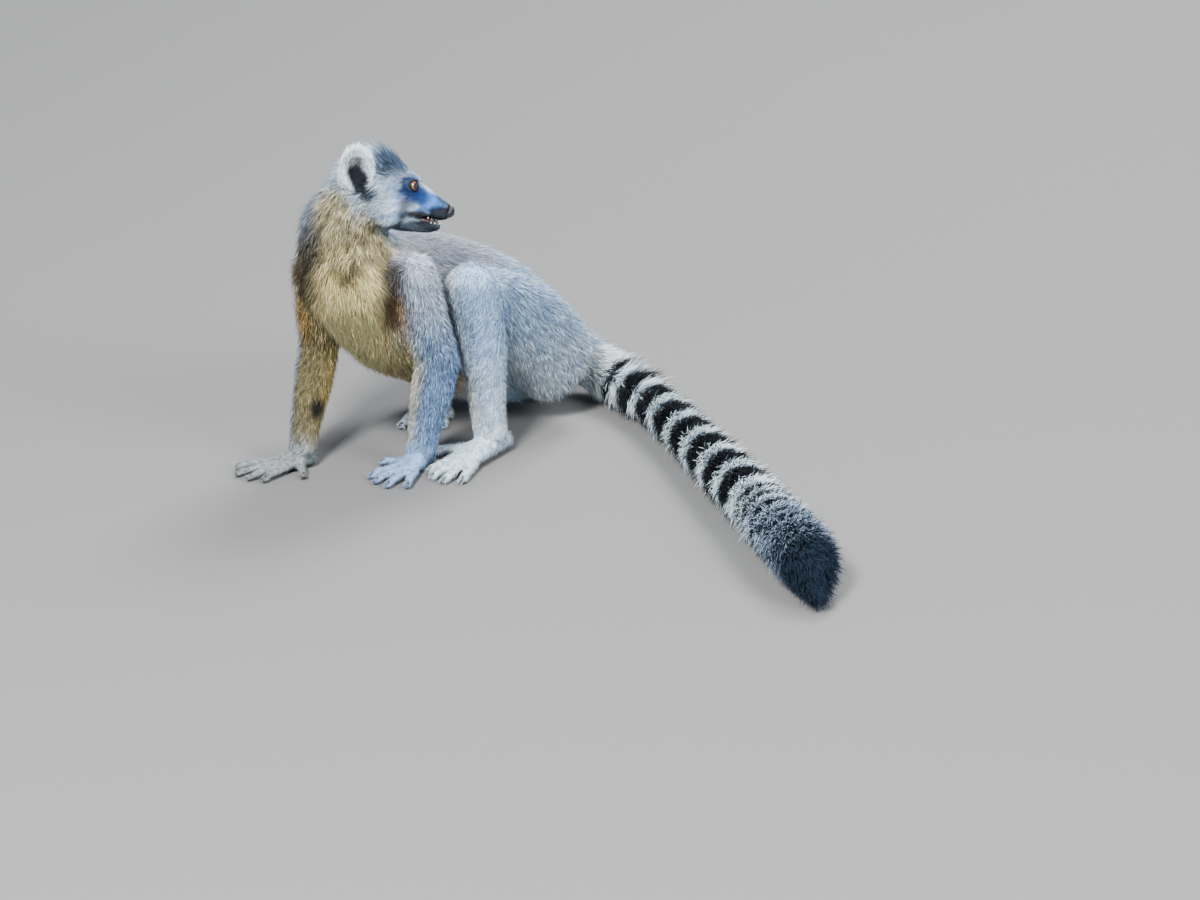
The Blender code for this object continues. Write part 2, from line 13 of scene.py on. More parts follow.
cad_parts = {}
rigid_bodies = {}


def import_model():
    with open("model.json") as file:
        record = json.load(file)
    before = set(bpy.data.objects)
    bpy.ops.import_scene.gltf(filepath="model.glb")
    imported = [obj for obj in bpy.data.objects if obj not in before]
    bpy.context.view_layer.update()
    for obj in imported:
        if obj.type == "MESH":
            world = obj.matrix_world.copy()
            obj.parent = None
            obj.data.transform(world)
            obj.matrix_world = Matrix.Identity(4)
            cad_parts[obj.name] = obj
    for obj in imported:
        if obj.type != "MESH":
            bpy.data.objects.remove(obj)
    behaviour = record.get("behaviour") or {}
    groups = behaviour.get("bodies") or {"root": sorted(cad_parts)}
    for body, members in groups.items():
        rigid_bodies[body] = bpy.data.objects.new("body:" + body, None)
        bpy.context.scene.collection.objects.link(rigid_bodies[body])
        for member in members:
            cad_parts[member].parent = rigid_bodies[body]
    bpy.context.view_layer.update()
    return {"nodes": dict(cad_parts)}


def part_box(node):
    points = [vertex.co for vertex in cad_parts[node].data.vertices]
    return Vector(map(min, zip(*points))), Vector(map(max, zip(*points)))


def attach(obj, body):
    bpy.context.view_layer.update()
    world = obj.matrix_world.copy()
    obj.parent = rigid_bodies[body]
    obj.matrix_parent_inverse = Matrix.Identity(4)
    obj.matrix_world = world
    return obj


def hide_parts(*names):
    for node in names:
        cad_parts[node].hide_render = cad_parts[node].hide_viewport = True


bl_info = {
    "name": "Ring-tailed lemur",
    "version": (1, 0, 0),
    "blender": (4, 5, 0),
    "location": "3D View > Sidebar > Lemur",
    "description": "Builds the skin, coat, eyes and nails of a sitting ring-tailed lemur",
    "category": "Object",
}

for left_over in list(bpy.data.objects):
    bpy.data.objects.remove(left_over)
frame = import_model()
MM = 0.001
SIDES = (("left", 1), ("right", -1))
EYES = ("eye_left", "eye_right")
FLESH = sorted(set(frame["nodes"]) - {"nose", *EYES})
TAIL_NODES = [f"tail_{k}" for k in range(1, 7)]
ARMS = ("upper_arm", "forearm", "hand")
LEGS = ("thigh", "shin", "foot")
PAWS = ("hand", "foot")
SEED = 29

# How deep the coat is over the skin, how long its tufts are, how far they stand from the
# skin at the root and at the tip, how far apart their roots are, and how grizzled they
# are: mm, mm, degrees, degrees, mm, 0 to 1.
HAIR = {
    "head": (1.3, 4.8, 32, 10, 0.95, 0.75),
    "ear": (1.7, 6.0, 34, 12, 0.85, 0.3),
    "neck": (6.0, 14, 36, 12, 1.25, 0.75),
    "chest": (6.0, 19, 30, 7, 1.35, 0.3),
    "belly": (5.0, 13, 28, 8, 1.55, 0.2),
    "rump": (5.5, 14, 32, 10, 1.5, 0.5),
    "upper_arm": (4.0, 11, 34, 13, 1.35, 0.7),
    "forearm": (2.8, 7.2, 34, 13, 1.25, 0.95),
    "hand": (0.7, 4.2, 30, 8, 1.05, 0.5),
    "thigh": (5.0, 11, 36, 14, 1.4, 0.9),
    "shin": (3.2, 7.5, 34, 13, 1.25, 0.85),
    "foot": (0.9, 5.2, 30, 8, 1.1, 0.35),
    "tail": (9.0, 18, 42, 18, 1.33, 0.15),
}
DEPTH, LENGTH, LIFT_ROOT, LIFT_TIP, SPACING, GRIZZLE = range(6)
# What the coat reads at each point of the skin, by its column of HAIR.
COAT_VALUES = {
    "length": LENGTH, "lift_root": LIFT_ROOT, "lift_tip": LIFT_TIP, "spacing": SPACING,
    "grizzle": GRIZZLE,
}

# Much of the blue in the white, frosted, slate, steel and eye-patch colours is painted light:
# the cool cast of the light, put into hair that is white and grey.
COLOURS = {
    "white": ("White hair", "Brows, cheeks, ear fringe and tail rings", (0.72, 0.87, 1.0)),
    "cream": ("Cream hair", "Long hair of the chest", (0.88, 0.75, 0.37)),
    "tan": ("Tan hair", "Belly", (0.70, 0.53, 0.29)),
    "slate": ("Slate hair", "Outside of the limbs", (0.20, 0.32, 0.54)),
    "frost": ("Frosted hair", "Shins, rump and pale edges of the limbs", (0.50, 0.71, 1.0)),
    # Olive on the far foreleg and hand is partly painted light; on the throat, chest and in
    # the ears it is the hair's own colour.
    "olive": ("Olive hair", "Throat and far foreleg", (0.22, 0.16, 0.02)),
    "rust": ("Rust hair", "Armpits", (0.36, 0.17, 0.03)),
    # Brown at the sides of the chest is partly dark hair, partly painted shade in the creases
    # by the neck and shoulders.
    "brown": ("Dark brown hair", "Sides of the chest", (0.050, 0.040, 0.028)),
    "dun": ("Pinkish grey hair", "Back", (0.43, 0.47, 0.57)),
    "steel": ("Steel grey hair", "Sides of the muzzle", (0.05, 0.17, 0.50)),
    "charcoal": ("Charcoal hair", "Crown and jaw", (0.022, 0.048, 0.09)),
    "night": ("Eye patch hair", "Patches round the eyes", (0.006, 0.028, 0.12)),
    "black": ("Black hair", "Lips and tail rings", (0.007, 0.009, 0.013)),
    "leather": ("Bare skin", "Palms, soles and lids", (0.045, 0.045, 0.052)),
}
# The plain colour of each kind of flesh, under its patches.
PLAIN_COLOURS = {
    "head": "white", "ear": "white", "neck": "slate", "chest": "cream", "belly": "tan",
    "rump": "frost", "upper_arm": "slate", "forearm": "slate", "hand": "frost",
    "thigh": "slate", "shin": "frost", "foot": "white", "tail": "white",
}


def kind(node):
    """The row of HAIR that a node of flesh takes."""
    return "tail" if node in TAIL_NODES else node.removesuffix("_left").removesuffix("_right")


def centre(node):
    """The middle of the node's box."""
    low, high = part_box(node)
    return (low + high) / 2


def head_axes():
    """The middle of the head, between the eyes, and its own axes."""
    nose_drop = 0.468  # how far the nose is below the eyes, as a share of how far ahead
    between = (centre("eye_left") + centre("eye_right")) / 2
    left = (centre("eye_left") - centre("eye_right")).normalized()
    ahead = centre("nose") - between
    ahead = (ahead - left * ahead.dot(left)).normalized()
    up = ahead.cross(left)
    angle = math.atan(nose_drop)
    forward = ahead * math.cos(angle) + up * math.sin(angle)
    return between + forward * 1.5 * MM, forward, left, forward.cross(left)


HEAD_AT, AHEAD, LEFT, ABOVE = head_axes()
UP = Vector((0, 0, 1))
BACKWARD = (centre("rump") - centre("chest")).normalized()


def colour_choice(label, words, value):
    """A colour that the user can pick."""
    return FloatVectorProperty(name=label, description=words, default=value, size=3,
                               min=0, max=1, subtype="COLOR")


def number(label, words, value, **settings):
    """A number that the user can pick."""
    return FloatProperty(name=label, description=words, default=value, **settings)


class LemurColours(bpy.types.PropertyGroup):
    """The colours of the coat and of the bare parts."""

    __annotations__ = {name: colour_choice(*row) for name, row in COLOURS.items()}


class LemurCoat(bpy.types.PropertyGroup):
    """How dense and fine the coat is."""

    spacing: number("Spacing", "Distance between roots, as a share of the usual", 1.0,
                    min=0.5, max=4)
    width: number("Tuft width", "Width of a tuft, as a share of the usual", 1.0,
                  min=0.2, max=3)
    most_tufts: IntProperty(
        name="Most tufts", description="The most tufts in one piece of the coat",
        default=19800, min=100)


class LemurSkin(bpy.types.PropertyGroup):
    """How fine the skin is."""

    voxel: number("Voxel", "Size of the grid that fuses the flesh", 1.3 * MM,
                  min=0.5 * MM, max=5 * MM, unit="LENGTH")
    body_share: number("Body share", "Share of the triangles kept away from the head", 0.12,
                       min=0.02, max=1, subtype="FACTOR")


class LemurEyes(bpy.types.PropertyGroup):
    """The eyes."""

    iris: colour_choice("Iris", "Colour of the iris", (0.50, 0.17, 0.018))
    opening: FloatVectorProperty(
        name="Lid opening", description="Half-width, upper and lower half-height of the lids",
        default=(4.3 * MM, 3.5 * MM, 3.2 * MM), size=3, unit="LENGTH")
    lid: number("Lid", "Thickness of the lids", 0.75 * MM, unit="LENGTH")


class LemurStage(bpy.types.PropertyGroup):
    """The floor and the camera."""

    floor_size: number("Floor", "Width of the floor", 12, unit="LENGTH")
    camera_height: number("Elevation", "How far above level the camera looks down from",
                          math.radians(20), subtype="ANGLE")
    camera_distance: number("Distance", "From the camera to the animal", 6, unit="LENGTH")
    lens: number("Lens", "Focal length", 198, subtype="DISTANCE_CAMERA")


# ---------------------------------------------------------------- small tools


def only(obj):
    """Selects one object alone."""
    bpy.ops.object.select_all(action="DESELECT")
    obj.hide_set(False)
    obj.select_set(True)
    bpy.context.view_layer.objects.active = obj


def smooth(obj):
    """Shades one object smooth."""
    only(obj)
    bpy.ops.object.shade_smooth()


def edit_all(obj, edit, **settings):
    """Runs an operator of edit mode on the whole of an object."""
    only(obj)
    bpy.ops.object.mode_set(mode="EDIT")
    bpy.ops.mesh.select_all(action="SELECT")
    edit(**settings)
    bpy.ops.object.mode_set(mode="OBJECT")


def edit_points(obj, chosen, edit, **settings):
    """Runs an operator of edit mode on just the chosen points."""
    only(obj)
    bpy.ops.object.mode_set(mode="EDIT")
    bpy.ops.mesh.select_mode(type="VERT")
    bpy.ops.mesh.select_all(action="DESELECT")
    bpy.ops.object.mode_set(mode="OBJECT")
    obj.data.vertices.foreach_set("select", chosen.astype(bool))
    bpy.ops.object.mode_set(mode="EDIT")
    bpy.ops.mesh.select_mode(type="VERT")
    edit(**settings)
    bpy.ops.object.mode_set(mode="OBJECT")


def link(obj):
    """Puts a new object into the scene."""
    bpy.context.scene.collection.objects.link(obj)
    return obj


def node_copy(node):
    """A free copy of a node of the frame, with its own mesh."""
    copy = frame["nodes"][node].copy()
    copy.data = frame["nodes"][node].data.copy()
    copy.parent = None
    return link(copy)


def add_primitive(add, **settings):
    """Runs an operator that adds an object, and returns the object."""
    bpy.ops.object.select_all(action="DESELECT")
    add(**settings)
    return bpy.context.object


def apply_modifier(obj, kind_of, **settings):
    """Adds a modifier with its settings and applies it."""
    modifier = obj.modifiers.new(kind_of.lower(), kind_of)
    for key, value in settings.items():
        setattr(modifier, key, value)
    only(obj)
    bpy.ops.object.modifier_apply(modifier=modifier.name)


def sphere(segments, ring_count, radius=1):
    """A round mesh at the origin."""
    return add_primitive(bpy.ops.mesh.primitive_uv_sphere_add, segments=segments,
                         ring_count=ring_count, radius=radius)


def join_pieces(name, parts):
    """Joins the parts into one object of that name."""
    bpy.ops.object.select_all(action="DESELECT")
    for part in parts:
        part.select_set(True)
    bpy.context.view_layer.objects.active = parts[0]
    bpy.ops.object.join()
    parts[0].name = parts[0].data.name = name
    return parts[0]


def read(items, name, width=3, kind_of=float):
    """One named value of each item, as rows."""
    values = np.empty(len(items) * width, dtype=kind_of)
    items.foreach_get(name, values)
    return values.reshape(-1, width) if width > 1 else values


def places(mesh):
    """The points of the mesh."""
    return read(mesh.vertices, "co")


def set_places(mesh, points):
    """Moves the points of the mesh."""
    mesh.vertices.foreach_set("co", points.ravel())
    mesh.update()


FIELDS = {"FLOAT": "value", "FLOAT_VECTOR": "vector", "FLOAT_COLOR": "color"}


def store(mesh, name, values, kind_of="FLOAT"):
    """Writes one value for each point of the mesh."""
    layer = mesh.attributes.new(name, kind_of, "POINT")
    layer.data.foreach_set(FIELDS[kind_of], np.ascontiguousarray(values, np.float32).ravel())


def stored(mesh, name, width=1):
    """Reads back what store wrote."""
    layer = mesh.attributes[name]
    return read(layer.data, FIELDS[layer.data_type], width, np.float32)


def with_alpha(colours):
    """The colours with a last column of ones."""
    return np.concatenate([colours, np.ones((*colours.shape[:-1], 1))], -1).reshape(-1, 4)


def relax(values, pairs, rounds):
    """Evens out values over the mesh, each point half-way to the mean of its neighbours."""
    values = np.array(values, dtype=float)
    flat = values.reshape(len(values), -1)
    near, far = pairs[:, 0], pairs[:, 1]
    count = np.bincount(near, minlength=len(flat)) + np.bincount(far, minlength=len(flat))
    count = np.maximum(count, 1)
    for _ in range(rounds):
        for column in range(flat.shape[1]):
            line = flat[:, column]
            total = np.bincount(near, line[far], len(line))
            total += np.bincount(far, line[near], len(line))
            flat[:, column] = line + 0.5 * (total / count - line)
    return flat.reshape(values.shape)


def unit(vectors):
    """The vectors at length 1."""
    return vectors / np.maximum(np.linalg.norm(vectors, axis=-1, keepdims=True), 1e-12)


def flat_on(vectors, normals):
    """The vectors laid down into the surface, at length 1."""
    return unit(vectors - normals * (vectors * normals).sum(1)[:, None])


def fade(value, start, end):
    """0 below start, 1 above end, eased between."""
    share = np.clip((value - start) / (end - start), 0, 1)
    return share * share * (3 - 2 * share)


def blend(first, second, share):
    """Colours or places between two, each given once or for every point."""
    share = np.asarray(share)[..., None]
    return np.asarray(first) * (1 - share) + np.asarray(second) * share


def cloudy(points, size, shift):
    """Smooth noise from -1 to 1 with features of about that size."""
    move = Vector((shift * 17.3, shift * 5.1, shift * 9.7))
    return np.array([noise.noise(Vector(p) / size + move) for p in points])


def in_head(points):
    """Points as forward, left and up of the head's middle, in mm."""
    axes = np.array([AHEAD, LEFT, ABOVE])
    return (np.asarray(points) - np.array(HEAD_AT)) @ axes.T / MM


def from_head(forward, left, up):
    """A place given in mm from the head's middle."""
    return HEAD_AT + (AHEAD * forward + LEFT * left + ABOVE * up) * MM


def make_mesh(name, points, faces):
    """A new object from points and faces."""
    mesh = bpy.data.meshes.new(name)
    mesh.from_pydata([tuple(p) for p in points], [], faces)
    return link(bpy.data.objects.new(name, mesh))


def picked_colours():
    """The colours that are set for the lemur, by name."""
    colours = bpy.context.scene.lemur_colours
    return {name: tuple(getattr(colours, name)) for name in COLOURS}


def finish_piece(obj, nodes, material):
    """Gives a piece its material and its place in the frame, and hides the nodes it replaces.
    """
    obj.data.materials.clear()
    obj.data.materials.append(material)
    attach(obj, "root")
    if nodes:
        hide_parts(*nodes)


# ---------------------------------------------------------------- materials


def new_material(name):
    """An empty material with its surface shader and output."""
    material = bpy.data.materials.new(name)
    material.use_nodes = True
    tree = material.node_tree
    tree.nodes.clear()
    output = tree.nodes.new("ShaderNodeOutputMaterial")
    surface = tree.nodes.new("ShaderNodeBsdfPrincipled")
    tree.links.new(surface.outputs[0], output.inputs[0])
    return material, tree, surface


def add_node(tree, kind_of, **settings):
    """Adds a node and sets its sockets, or its own settings, by name."""
    made = tree.nodes.new(kind_of)
    for key, value in settings.items():
        if key in made.inputs.keys():
            made.inputs[key].default_value = value
        else:
            setattr(made, key.lower(), value)
    return made


def set_sockets(surface, **values):
    """Sets sockets of the surface shader, with _ for each space in their names."""
    for name, value in values.items():
        surface.inputs[name.replace("_", " ")].default_value = value


def grain(tree, kind_of, scale, **settings):
    """A texture that is fixed to the piece."""
    made = add_node(tree, kind_of, Scale=scale, **settings)
    name = "Texture Coordinate"
    place = tree.nodes.get(name) or tree.nodes.new("ShaderNodeTexCoord")
    tree.links.new(place.outputs["Object"], made.inputs["Vector"])
    return made


def ramp(tree, source, stops):
    """A colour ramp over a socket, from places and their colours or greys."""
    made = tree.nodes.new("ShaderNodeValToRGB")
    tree.links.new(source, made.inputs[0])
    spots = made.color_ramp.elements
    while len(spots) < len(stops):
        spots.new(0.5)
    for spot, (place, colour) in zip(spots, stops):
        spot.position = place
        spot.color = (*colour, 1) if hasattr(colour, "__len__") else (colour,) * 3 + (1,)
    return made.outputs[0]


def shade_with(tree, surface, colour, shade):
    """Colours the surface by one socket darkened by another."""
    mix = add_node(tree, "ShaderNodeMix", Data_Type="RGBA", Blend_Type="MULTIPLY")
    mix.inputs[0].default_value = 1.0
    tree.links.new(colour, mix.inputs[6])
    tree.links.new(shade, mix.inputs[7])
    tree.links.new(mix.outputs[2], surface.inputs["Base Color"])


def roughen(tree, surface, height, strength, distance):
    """Bumps the surface by the height."""
    bump = add_node(tree, "ShaderNodeBump", Strength=strength, Distance=distance)
    tree.links.new(height, bump.inputs["Height"])
    tree.links.new(bump.outputs[0], surface.inputs["Normal"])


def haired_material(name, scale, detail, dark):
    """A matt material in the colours of the markings, streaked like hair."""
    material, tree, surface = new_material(name)
    marks = add_node(tree, "ShaderNodeAttribute", attribute_name="markings")
    fine = grain(tree, "ShaderNodeTexNoise", scale, Detail=detail).outputs[0]
    shade_with(tree, surface, marks.outputs[0], ramp(tree, fine, [(0.3, dark), (0.7, 1.0)]))
    set_sockets(surface, Specular_IOR_Level=0.08)
    return material, tree, surface, fine


def coat_material():
    """Dry matt hair with a faint sheen."""
    material, _, surface, _ = haired_material("coat", 900.0, 2.0, 0.82)
    set_sockets(surface, Roughness=0.72, Sheen_Weight=0.02)
    return material


def skin_material():
    """Skin under the coat: short dark streaks, uneven gloss and pores."""
    material, tree, surface, fine = haired_material("skin", 700.0, 4.0, 0.62)
    gloss = ramp(tree, fine, [(0.3, 0.55), (0.7, 0.8)])
    tree.links.new(gloss, surface.inputs["Roughness"])
    pores = grain(tree, "ShaderNodeTexVoronoi", 1100.0)
    roughen(tree, surface, pores.outputs["Distance"], 0.35, 0.4 * MM)
    return material


def eye_material(iris):
    """A wet dark eye with a fibrous iris round a black pupil, by the angle off its gaze."""
    material, tree, surface = new_material("eye")
    gaze = add_node(tree, "ShaderNodeAttribute", attribute_name="gaze")
    fibres = grain(tree, "ShaderNodeTexNoise", 900.0, Detail=3.0)
    pupil = (0.002, 0.002, 0.002)
    rings = ramp(tree, gaze.outputs["Fac"], [
        (0.0, pupil), (0.215, pupil), (0.235, iris * 0.55), (0.33, iris),
        (0.50, iris * 0.75), (0.60, (0.06, 0.018, 0.004)), (0.66, (0.012, 0.008, 0.007)),
    ])
    shade = ramp(tree, fibres.outputs[0], [(0.35, 0.65), (0.65, 1.0)])
    shade_with(tree, surface, rings, shade)
    set_sockets(surface, Roughness=0.25, Coat_Weight=1.0, Coat_Roughness=0.02)
    return material


def horn_material(name, colour, roughness, coat=0.0):
    """Nail, tooth, whisker or nose: a fine-grained surface with slight colour change."""
    material, tree, surface = new_material(name)
    fine = grain(tree, "ShaderNodeTexNoise", 1500.0, Detail=3.0)
    shade = ramp(tree, fine.outputs[0], [(0.3, Vector(colour) * 0.6), (0.7, Vector(colour))])
    tree.links.new(shade, surface.inputs["Base Color"])
    cells = grain(tree, "ShaderNodeTexVoronoi", 1700.0)
    roughen(tree, surface, cells.outputs["Distance"], 0.5, 0.3 * MM)
    set_sockets(surface, Roughness=roughness, Coat_Weight=coat)
    return material


# ---------------------------------------------------------------- skin

WELD = 0.01 * MM  # points closer than this are one
SKIN_FLOOR, TUFT_FLOOR = 0.05 * MM, 0.25 * MM  # how low the skin and the tufts may come
GAZE = (0.87, 0.48, 0.06)  # how far the eyes look ahead, outwards and up
LID_REACH = (2.5, 6)  # how far outside the eyeball the lids end, in mm
# The ridge and the groove round a lid: height in mm, and place and width by lid_measure.
LID_RIDGE, LID_GROOVE = (0.5, 1.22, 0.16), (0.6, 1.62, 0.14)
SOLE_TOP = (9, 15)  # how high up bare palms and soles fade out, in mm


def hair_ways():
    """The way the hair of each node of flesh lies."""
    down = -UP
    ways = {"head": -AHEAD - ABOVE * 0.25}
    for side, way in SIDES:
        ways[f"ear_{side}"] = ABOVE * 0.9 + LEFT * way * 0.35
        for limb in (ARMS, LEGS):
            upper, lower, paw = (f"{name}_{side}" for name in limb)
            ways[upper] = centre(lower) - centre(upper)
            ways[lower] = centre(paw) - centre(upper)
            ways[paw] = (centre(paw) - centre(lower)) * Vector((1, 1, 0.25))
        ways[f"thigh_{side}"] = down + BACKWARD * 0.55
    ways["neck"] = down - AHEAD * 0.25
    ways["chest"] = down + BACKWARD * 0.25
    ways["belly"] = BACKWARD + down * 0.45
    ways["rump"] = BACKWARD + down * 0.5
    for before, name in zip(("rump", *TAIL_NODES), TAIL_NODES):
        ways[name] = centre(name) - centre(before)
    return ways


def flesh_copy(voxel):
    """All the flesh as one mesh, swollen a little so that its thin cuts close."""
    copies = []
    for node in (*FLESH, *EYES):
        swell = 0.25 if kind(node) in ("head", "ear") else 0.45
        copies.append(node_copy(node))
        apply_modifier(copies[-1], "WELD", merge_threshold=WELD)
        apply_modifier(copies[-1], "DISPLACE", strength=swell * MM, mid_level=0)
    body = join_pieces("skin", copies)
    apply_modifier(body, "REMESH", mode="VOXEL", voxel_size=voxel, use_smooth_shade=True)
    return body


def nearest_nodes(points):
    """The number in FLESH of the node nearest each point."""
    corners, faces, owners = [], [], []
    for number, node in enumerate(FLESH):
        mesh = frame["nodes"][node].data
        start = len(corners)
        corners += [v.co.copy() for v in mesh.vertices]
        faces += [[start + i for i in p.vertices] for p in mesh.polygons]
        owners += [number] * len(mesh.polygons)
    tree = BVHTree.FromPolygons(corners, faces)
    return np.array([owners[tree.find_nearest(p)[2]] for p in points])


def smooth_flesh(body, coarse):
    """Takes the facets out of the flesh, most where it is coarse."""
    group = body.vertex_groups.new(name="coarse")
    group.add([int(i) for i in np.flatnonzero(coarse)], 1.0, "REPLACE")
    apply_modifier(body, "SMOOTH", iterations=30, factor=0.6, vertex_group="coarse")
    body.vertex_groups.clear()
    apply_modifier(body, "SMOOTH", iterations=4, factor=0.6)


def owner_kinds(owners):
    """The row of HAIR that each point takes, by its nearest node."""
    return np.array([kind(node) for node in FLESH])[owners]


def eye_axes(eye):
    """The middle of an eye, its gaze, and across and up the opening of its lids."""
    side = 1 if eye == "eye_left" else -1
    gaze = (AHEAD * GAZE[0] + LEFT * side * GAZE[1] + ABOVE * GAZE[2]).normalized()
    across = (AHEAD - gaze * AHEAD.dot(gaze)).normalized()
    over = ABOVE - gaze * ABOVE.dot(gaze)
    over = (over - across * over.dot(across)).normalized()
    return centre(eye), gaze, across, over


def eye_radius():
    """Half the width of an eye."""
    low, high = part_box("eye_left")
    return (high.x - low.x) / 2


def lid_measure(points, eye, sizes):
    """How far each point is from the middle of the lids' opening, 1 at its edge and large
    behind the eye, and how far it is from the middle of the eye."""
    outside = 9.0
    middle, gaze, across, over = (np.array(v) for v in eye_axes(eye))
    away = points - middle
    far = np.linalg.norm(away, axis=1)
    reach = eye_radius() / np.maximum(far, 1e-9)
    wide = (away @ across) * reach / sizes.opening[0]
    tall = (away @ over) * reach
    tall = np.where(tall > 0, tall / sizes.opening[1], tall / sizes.opening[2])
    beyond = fade(far, *(eye_radius() + reach * MM for reach in LID_REACH))
    edge = np.hypot(wide, tall) + outside * beyond
    return np.where(away @ gaze > 0, edge, outside), far


def lid_edge(points, sizes):
    """How far each point is from the middle of the nearer lids' opening."""
    return np.minimum(*(lid_measure(points, eye, sizes)[0] for eye in EYES))


def open_lids(points, sizes):
    """Draws the skin round each eye into two lids, and opens them over the eyeball."""
    radius = eye_radius()
    opened, rim = radius - 1.4 * MM, radius + sizes.lid
    for eye in EYES:
        edge, far = lid_measure(points, eye, sizes)
        middle = np.array(centre(eye))
        ridge, groove = (height * MM * np.exp(-((edge - place) / width) ** 2)
                         for height, place, width in (LID_RIDGE, LID_GROOVE))
        keep = fade(edge, 1.15, 2.3)
        lid = rim * (1 - keep) + far * keep + ridge - groove
        target = np.where(edge < 1.0, opened, np.maximum(lid, rim))
        out = np.where(edge < 2.6, target, far)
        points = middle + (points - middle) * (out / np.maximum(far, 1e-9))[:, None]
    return points


def fused_flesh(settings, eyes):
    """One skin over all the flesh, thinned away from the head and paws and cut finer round
    the eyes."""
    body = flesh_copy(settings.voxel)
    kinds = owner_kinds(nearest_nodes(places(body.data)))
    coarse = ~np.isin(kinds, ("head", "ear", *PAWS))
    smooth_flesh(body, coarse)
    edit_points(body, coarse, bpy.ops.mesh.decimate, ratio=settings.body_share)
    for _ in range(2):
        near = lid_edge(places(body.data), eyes) < 2.4
        edit_points(body, near, bpy.ops.mesh.subdivide, number_cuts=1)
    return body


# Markings of the head: place forward, left and up, half-sizes, all in mm, colour, how
# strong, and how soft the edge is. Each is on both sides.
HEAD_MARKS = [
    ((-52, 0, -12), (16, 30, 30), "slate", 0.8, 0.4),
    ((-17, 0, 17), (18, 34, 15), "charcoal", 0.96, 0.4),
    ((6, 13, 8), (9, 8, 6), "frost", 0.6, 0.6),
    ((-6, 21, -12), (9, 9, 12), "slate", 0.65, 0.6),
    ((-13, 23, 0), (6, 9, 10), "slate", 0.4, 0.7),
    ((20, 9, -12), (17, 12, 10.5), "steel", 0.97, 0.42),
    ((32, 0, -9), (11, 9, 9), "charcoal", 0.95, 0.35),
    ((3, 17, -2), (13, 14, 13.5), "night", 0.97, 0.45),
    ((11, 13, -7), (9, 9, 8), "night", 0.8, 0.5),
    ((0, 18, 0), (8, 8, 8), "black", 0.5, 0.6),
    ((0, 20, -18), (7, 9, 5), "brown", 0.7, 0.6),
    ((-2, 18, -26), (11, 9, 4.5), "charcoal", 0.88, 0.5),
    ((-13, 21, -29), (9, 9, 3), "slate", 0.9, 0.5),
    ((7, 5, -37), (26, 17, 8), "charcoal", 0.75, 0.3),
    ((12, 5, -36), (22, 16, 7), "black", 0.7, 0.3),
    ((20, 0, -32), (16, 14, 5.5), "black", 0.9, 0.3),
    ((14, 9, -24.5), (12, 9, 3.2), "black", 0.95, 0.35),
    ((31, 7, -20.5), (12.5, 10, 6.8), "black", 0.98, 0.35),
    ((38, 0, -17), (6.5, 9, 9), "black", 0.97, 0.3),
]
# The same for the cups of the ears, over their white hair. The brown and black in the depth
# of each hollow are partly dark bare skin, partly painted shade of the recess.
EAR_MARKS = [
    ((-53, 32, 11), (11, 14, 13), "olive", 0.55, 0.4),
    ((-52, 32, 9), (9, 14, 11), "charcoal", 0.4, 0.5),
    ((-45, 30, 0), (11, 14, 11), "brown", 0.85, 0.4),
    ((-48, 31, 3), (7, 14, 7), "black", 0.97, 0.3),
    ((-44, 30, -2), (8.5, 14, 8), "black", 0.98, 0.3),
    ((-40, 29, -8), (8.5, 14, 8), "black", 0.98, 0.3),
]
# Black in the notch at the lower front of each ear: partly dark skin, partly painted shade.
EAR_NOTCH = ((-31, 27, -11), (8, 9, 6), "black", 0.92, 0.4)
# Markings of the body, by place in mm in the frame.
BODY_MARKS = [
    # Slate and brown where the neck runs into the shoulders: partly dark hair, partly painted
    # shade in the creases.
    ((-197, 52, 222), (13, 34, 34), "slate", 0.35, 0.5),
    ((-190, 52, 212), (12, 26, 38), "brown", 0.6, 0.6),
    ((-140, 56, 222), (20, 24, 16), "brown", 0.5, 0.6),
    # An olive patch with a V of thin brown lines on the upper chest: the brown lines are
    # painted shadow of the folds in its long hair.
    ((-164, 30, 195), (16, 24, 9), "olive", 0.4, 0.6),
    ((-163, 28, 194), (5.5, 22, 6), "brown", 0.9, 0.5),
    ((-171, 30, 202), (7, 22, 4.5), "brown", 0.85, 0.5),
    ((-181, 33, 211), (7, 22, 5), "brown", 0.8, 0.5),
    ((-154, 30, 199), (7, 22, 4.5), "brown", 0.85, 0.5),
    ((-144, 33, 205), (7, 22, 4.5), "brown", 0.8, 0.5),
    ((-134, 36, 213), (7, 22, 5.5), "brown", 0.8, 0.5),
    # Brown where the chest meets each upper arm: partly dark hair, partly painted shade
    # between the parts.
    ((-200, 60, 188), (15, 34, 38), "brown", 0.9, 0.5),
    ((-124, 46, 192), (15, 26, 38), "brown", 0.92, 0.5),
    ((-120, 50, 150), (13, 24, 22), "rust", 0.7, 0.6),
    ((-206, 74, 134), (10, 24, 20), "rust", 0.6, 0.6),
    ((-190, 64, 55), (8, 14, 11), "black", 0.95, 0.35),
]


def blend_marks(colours, spots, marks, ragged, palette):
    """Paints soft-edged patches, in order, over the colours."""
    for spot, sizes, name, strength, soft in marks:
        away = (spots - np.array(spot)) / np.array(sizes)
        reach = np.linalg.norm(away, axis=1) + ragged
        share = strength * (1 - fade(reach, 1 - soft, 1 + soft))
        colours = blend(colours, palette[name], share)
    return colours


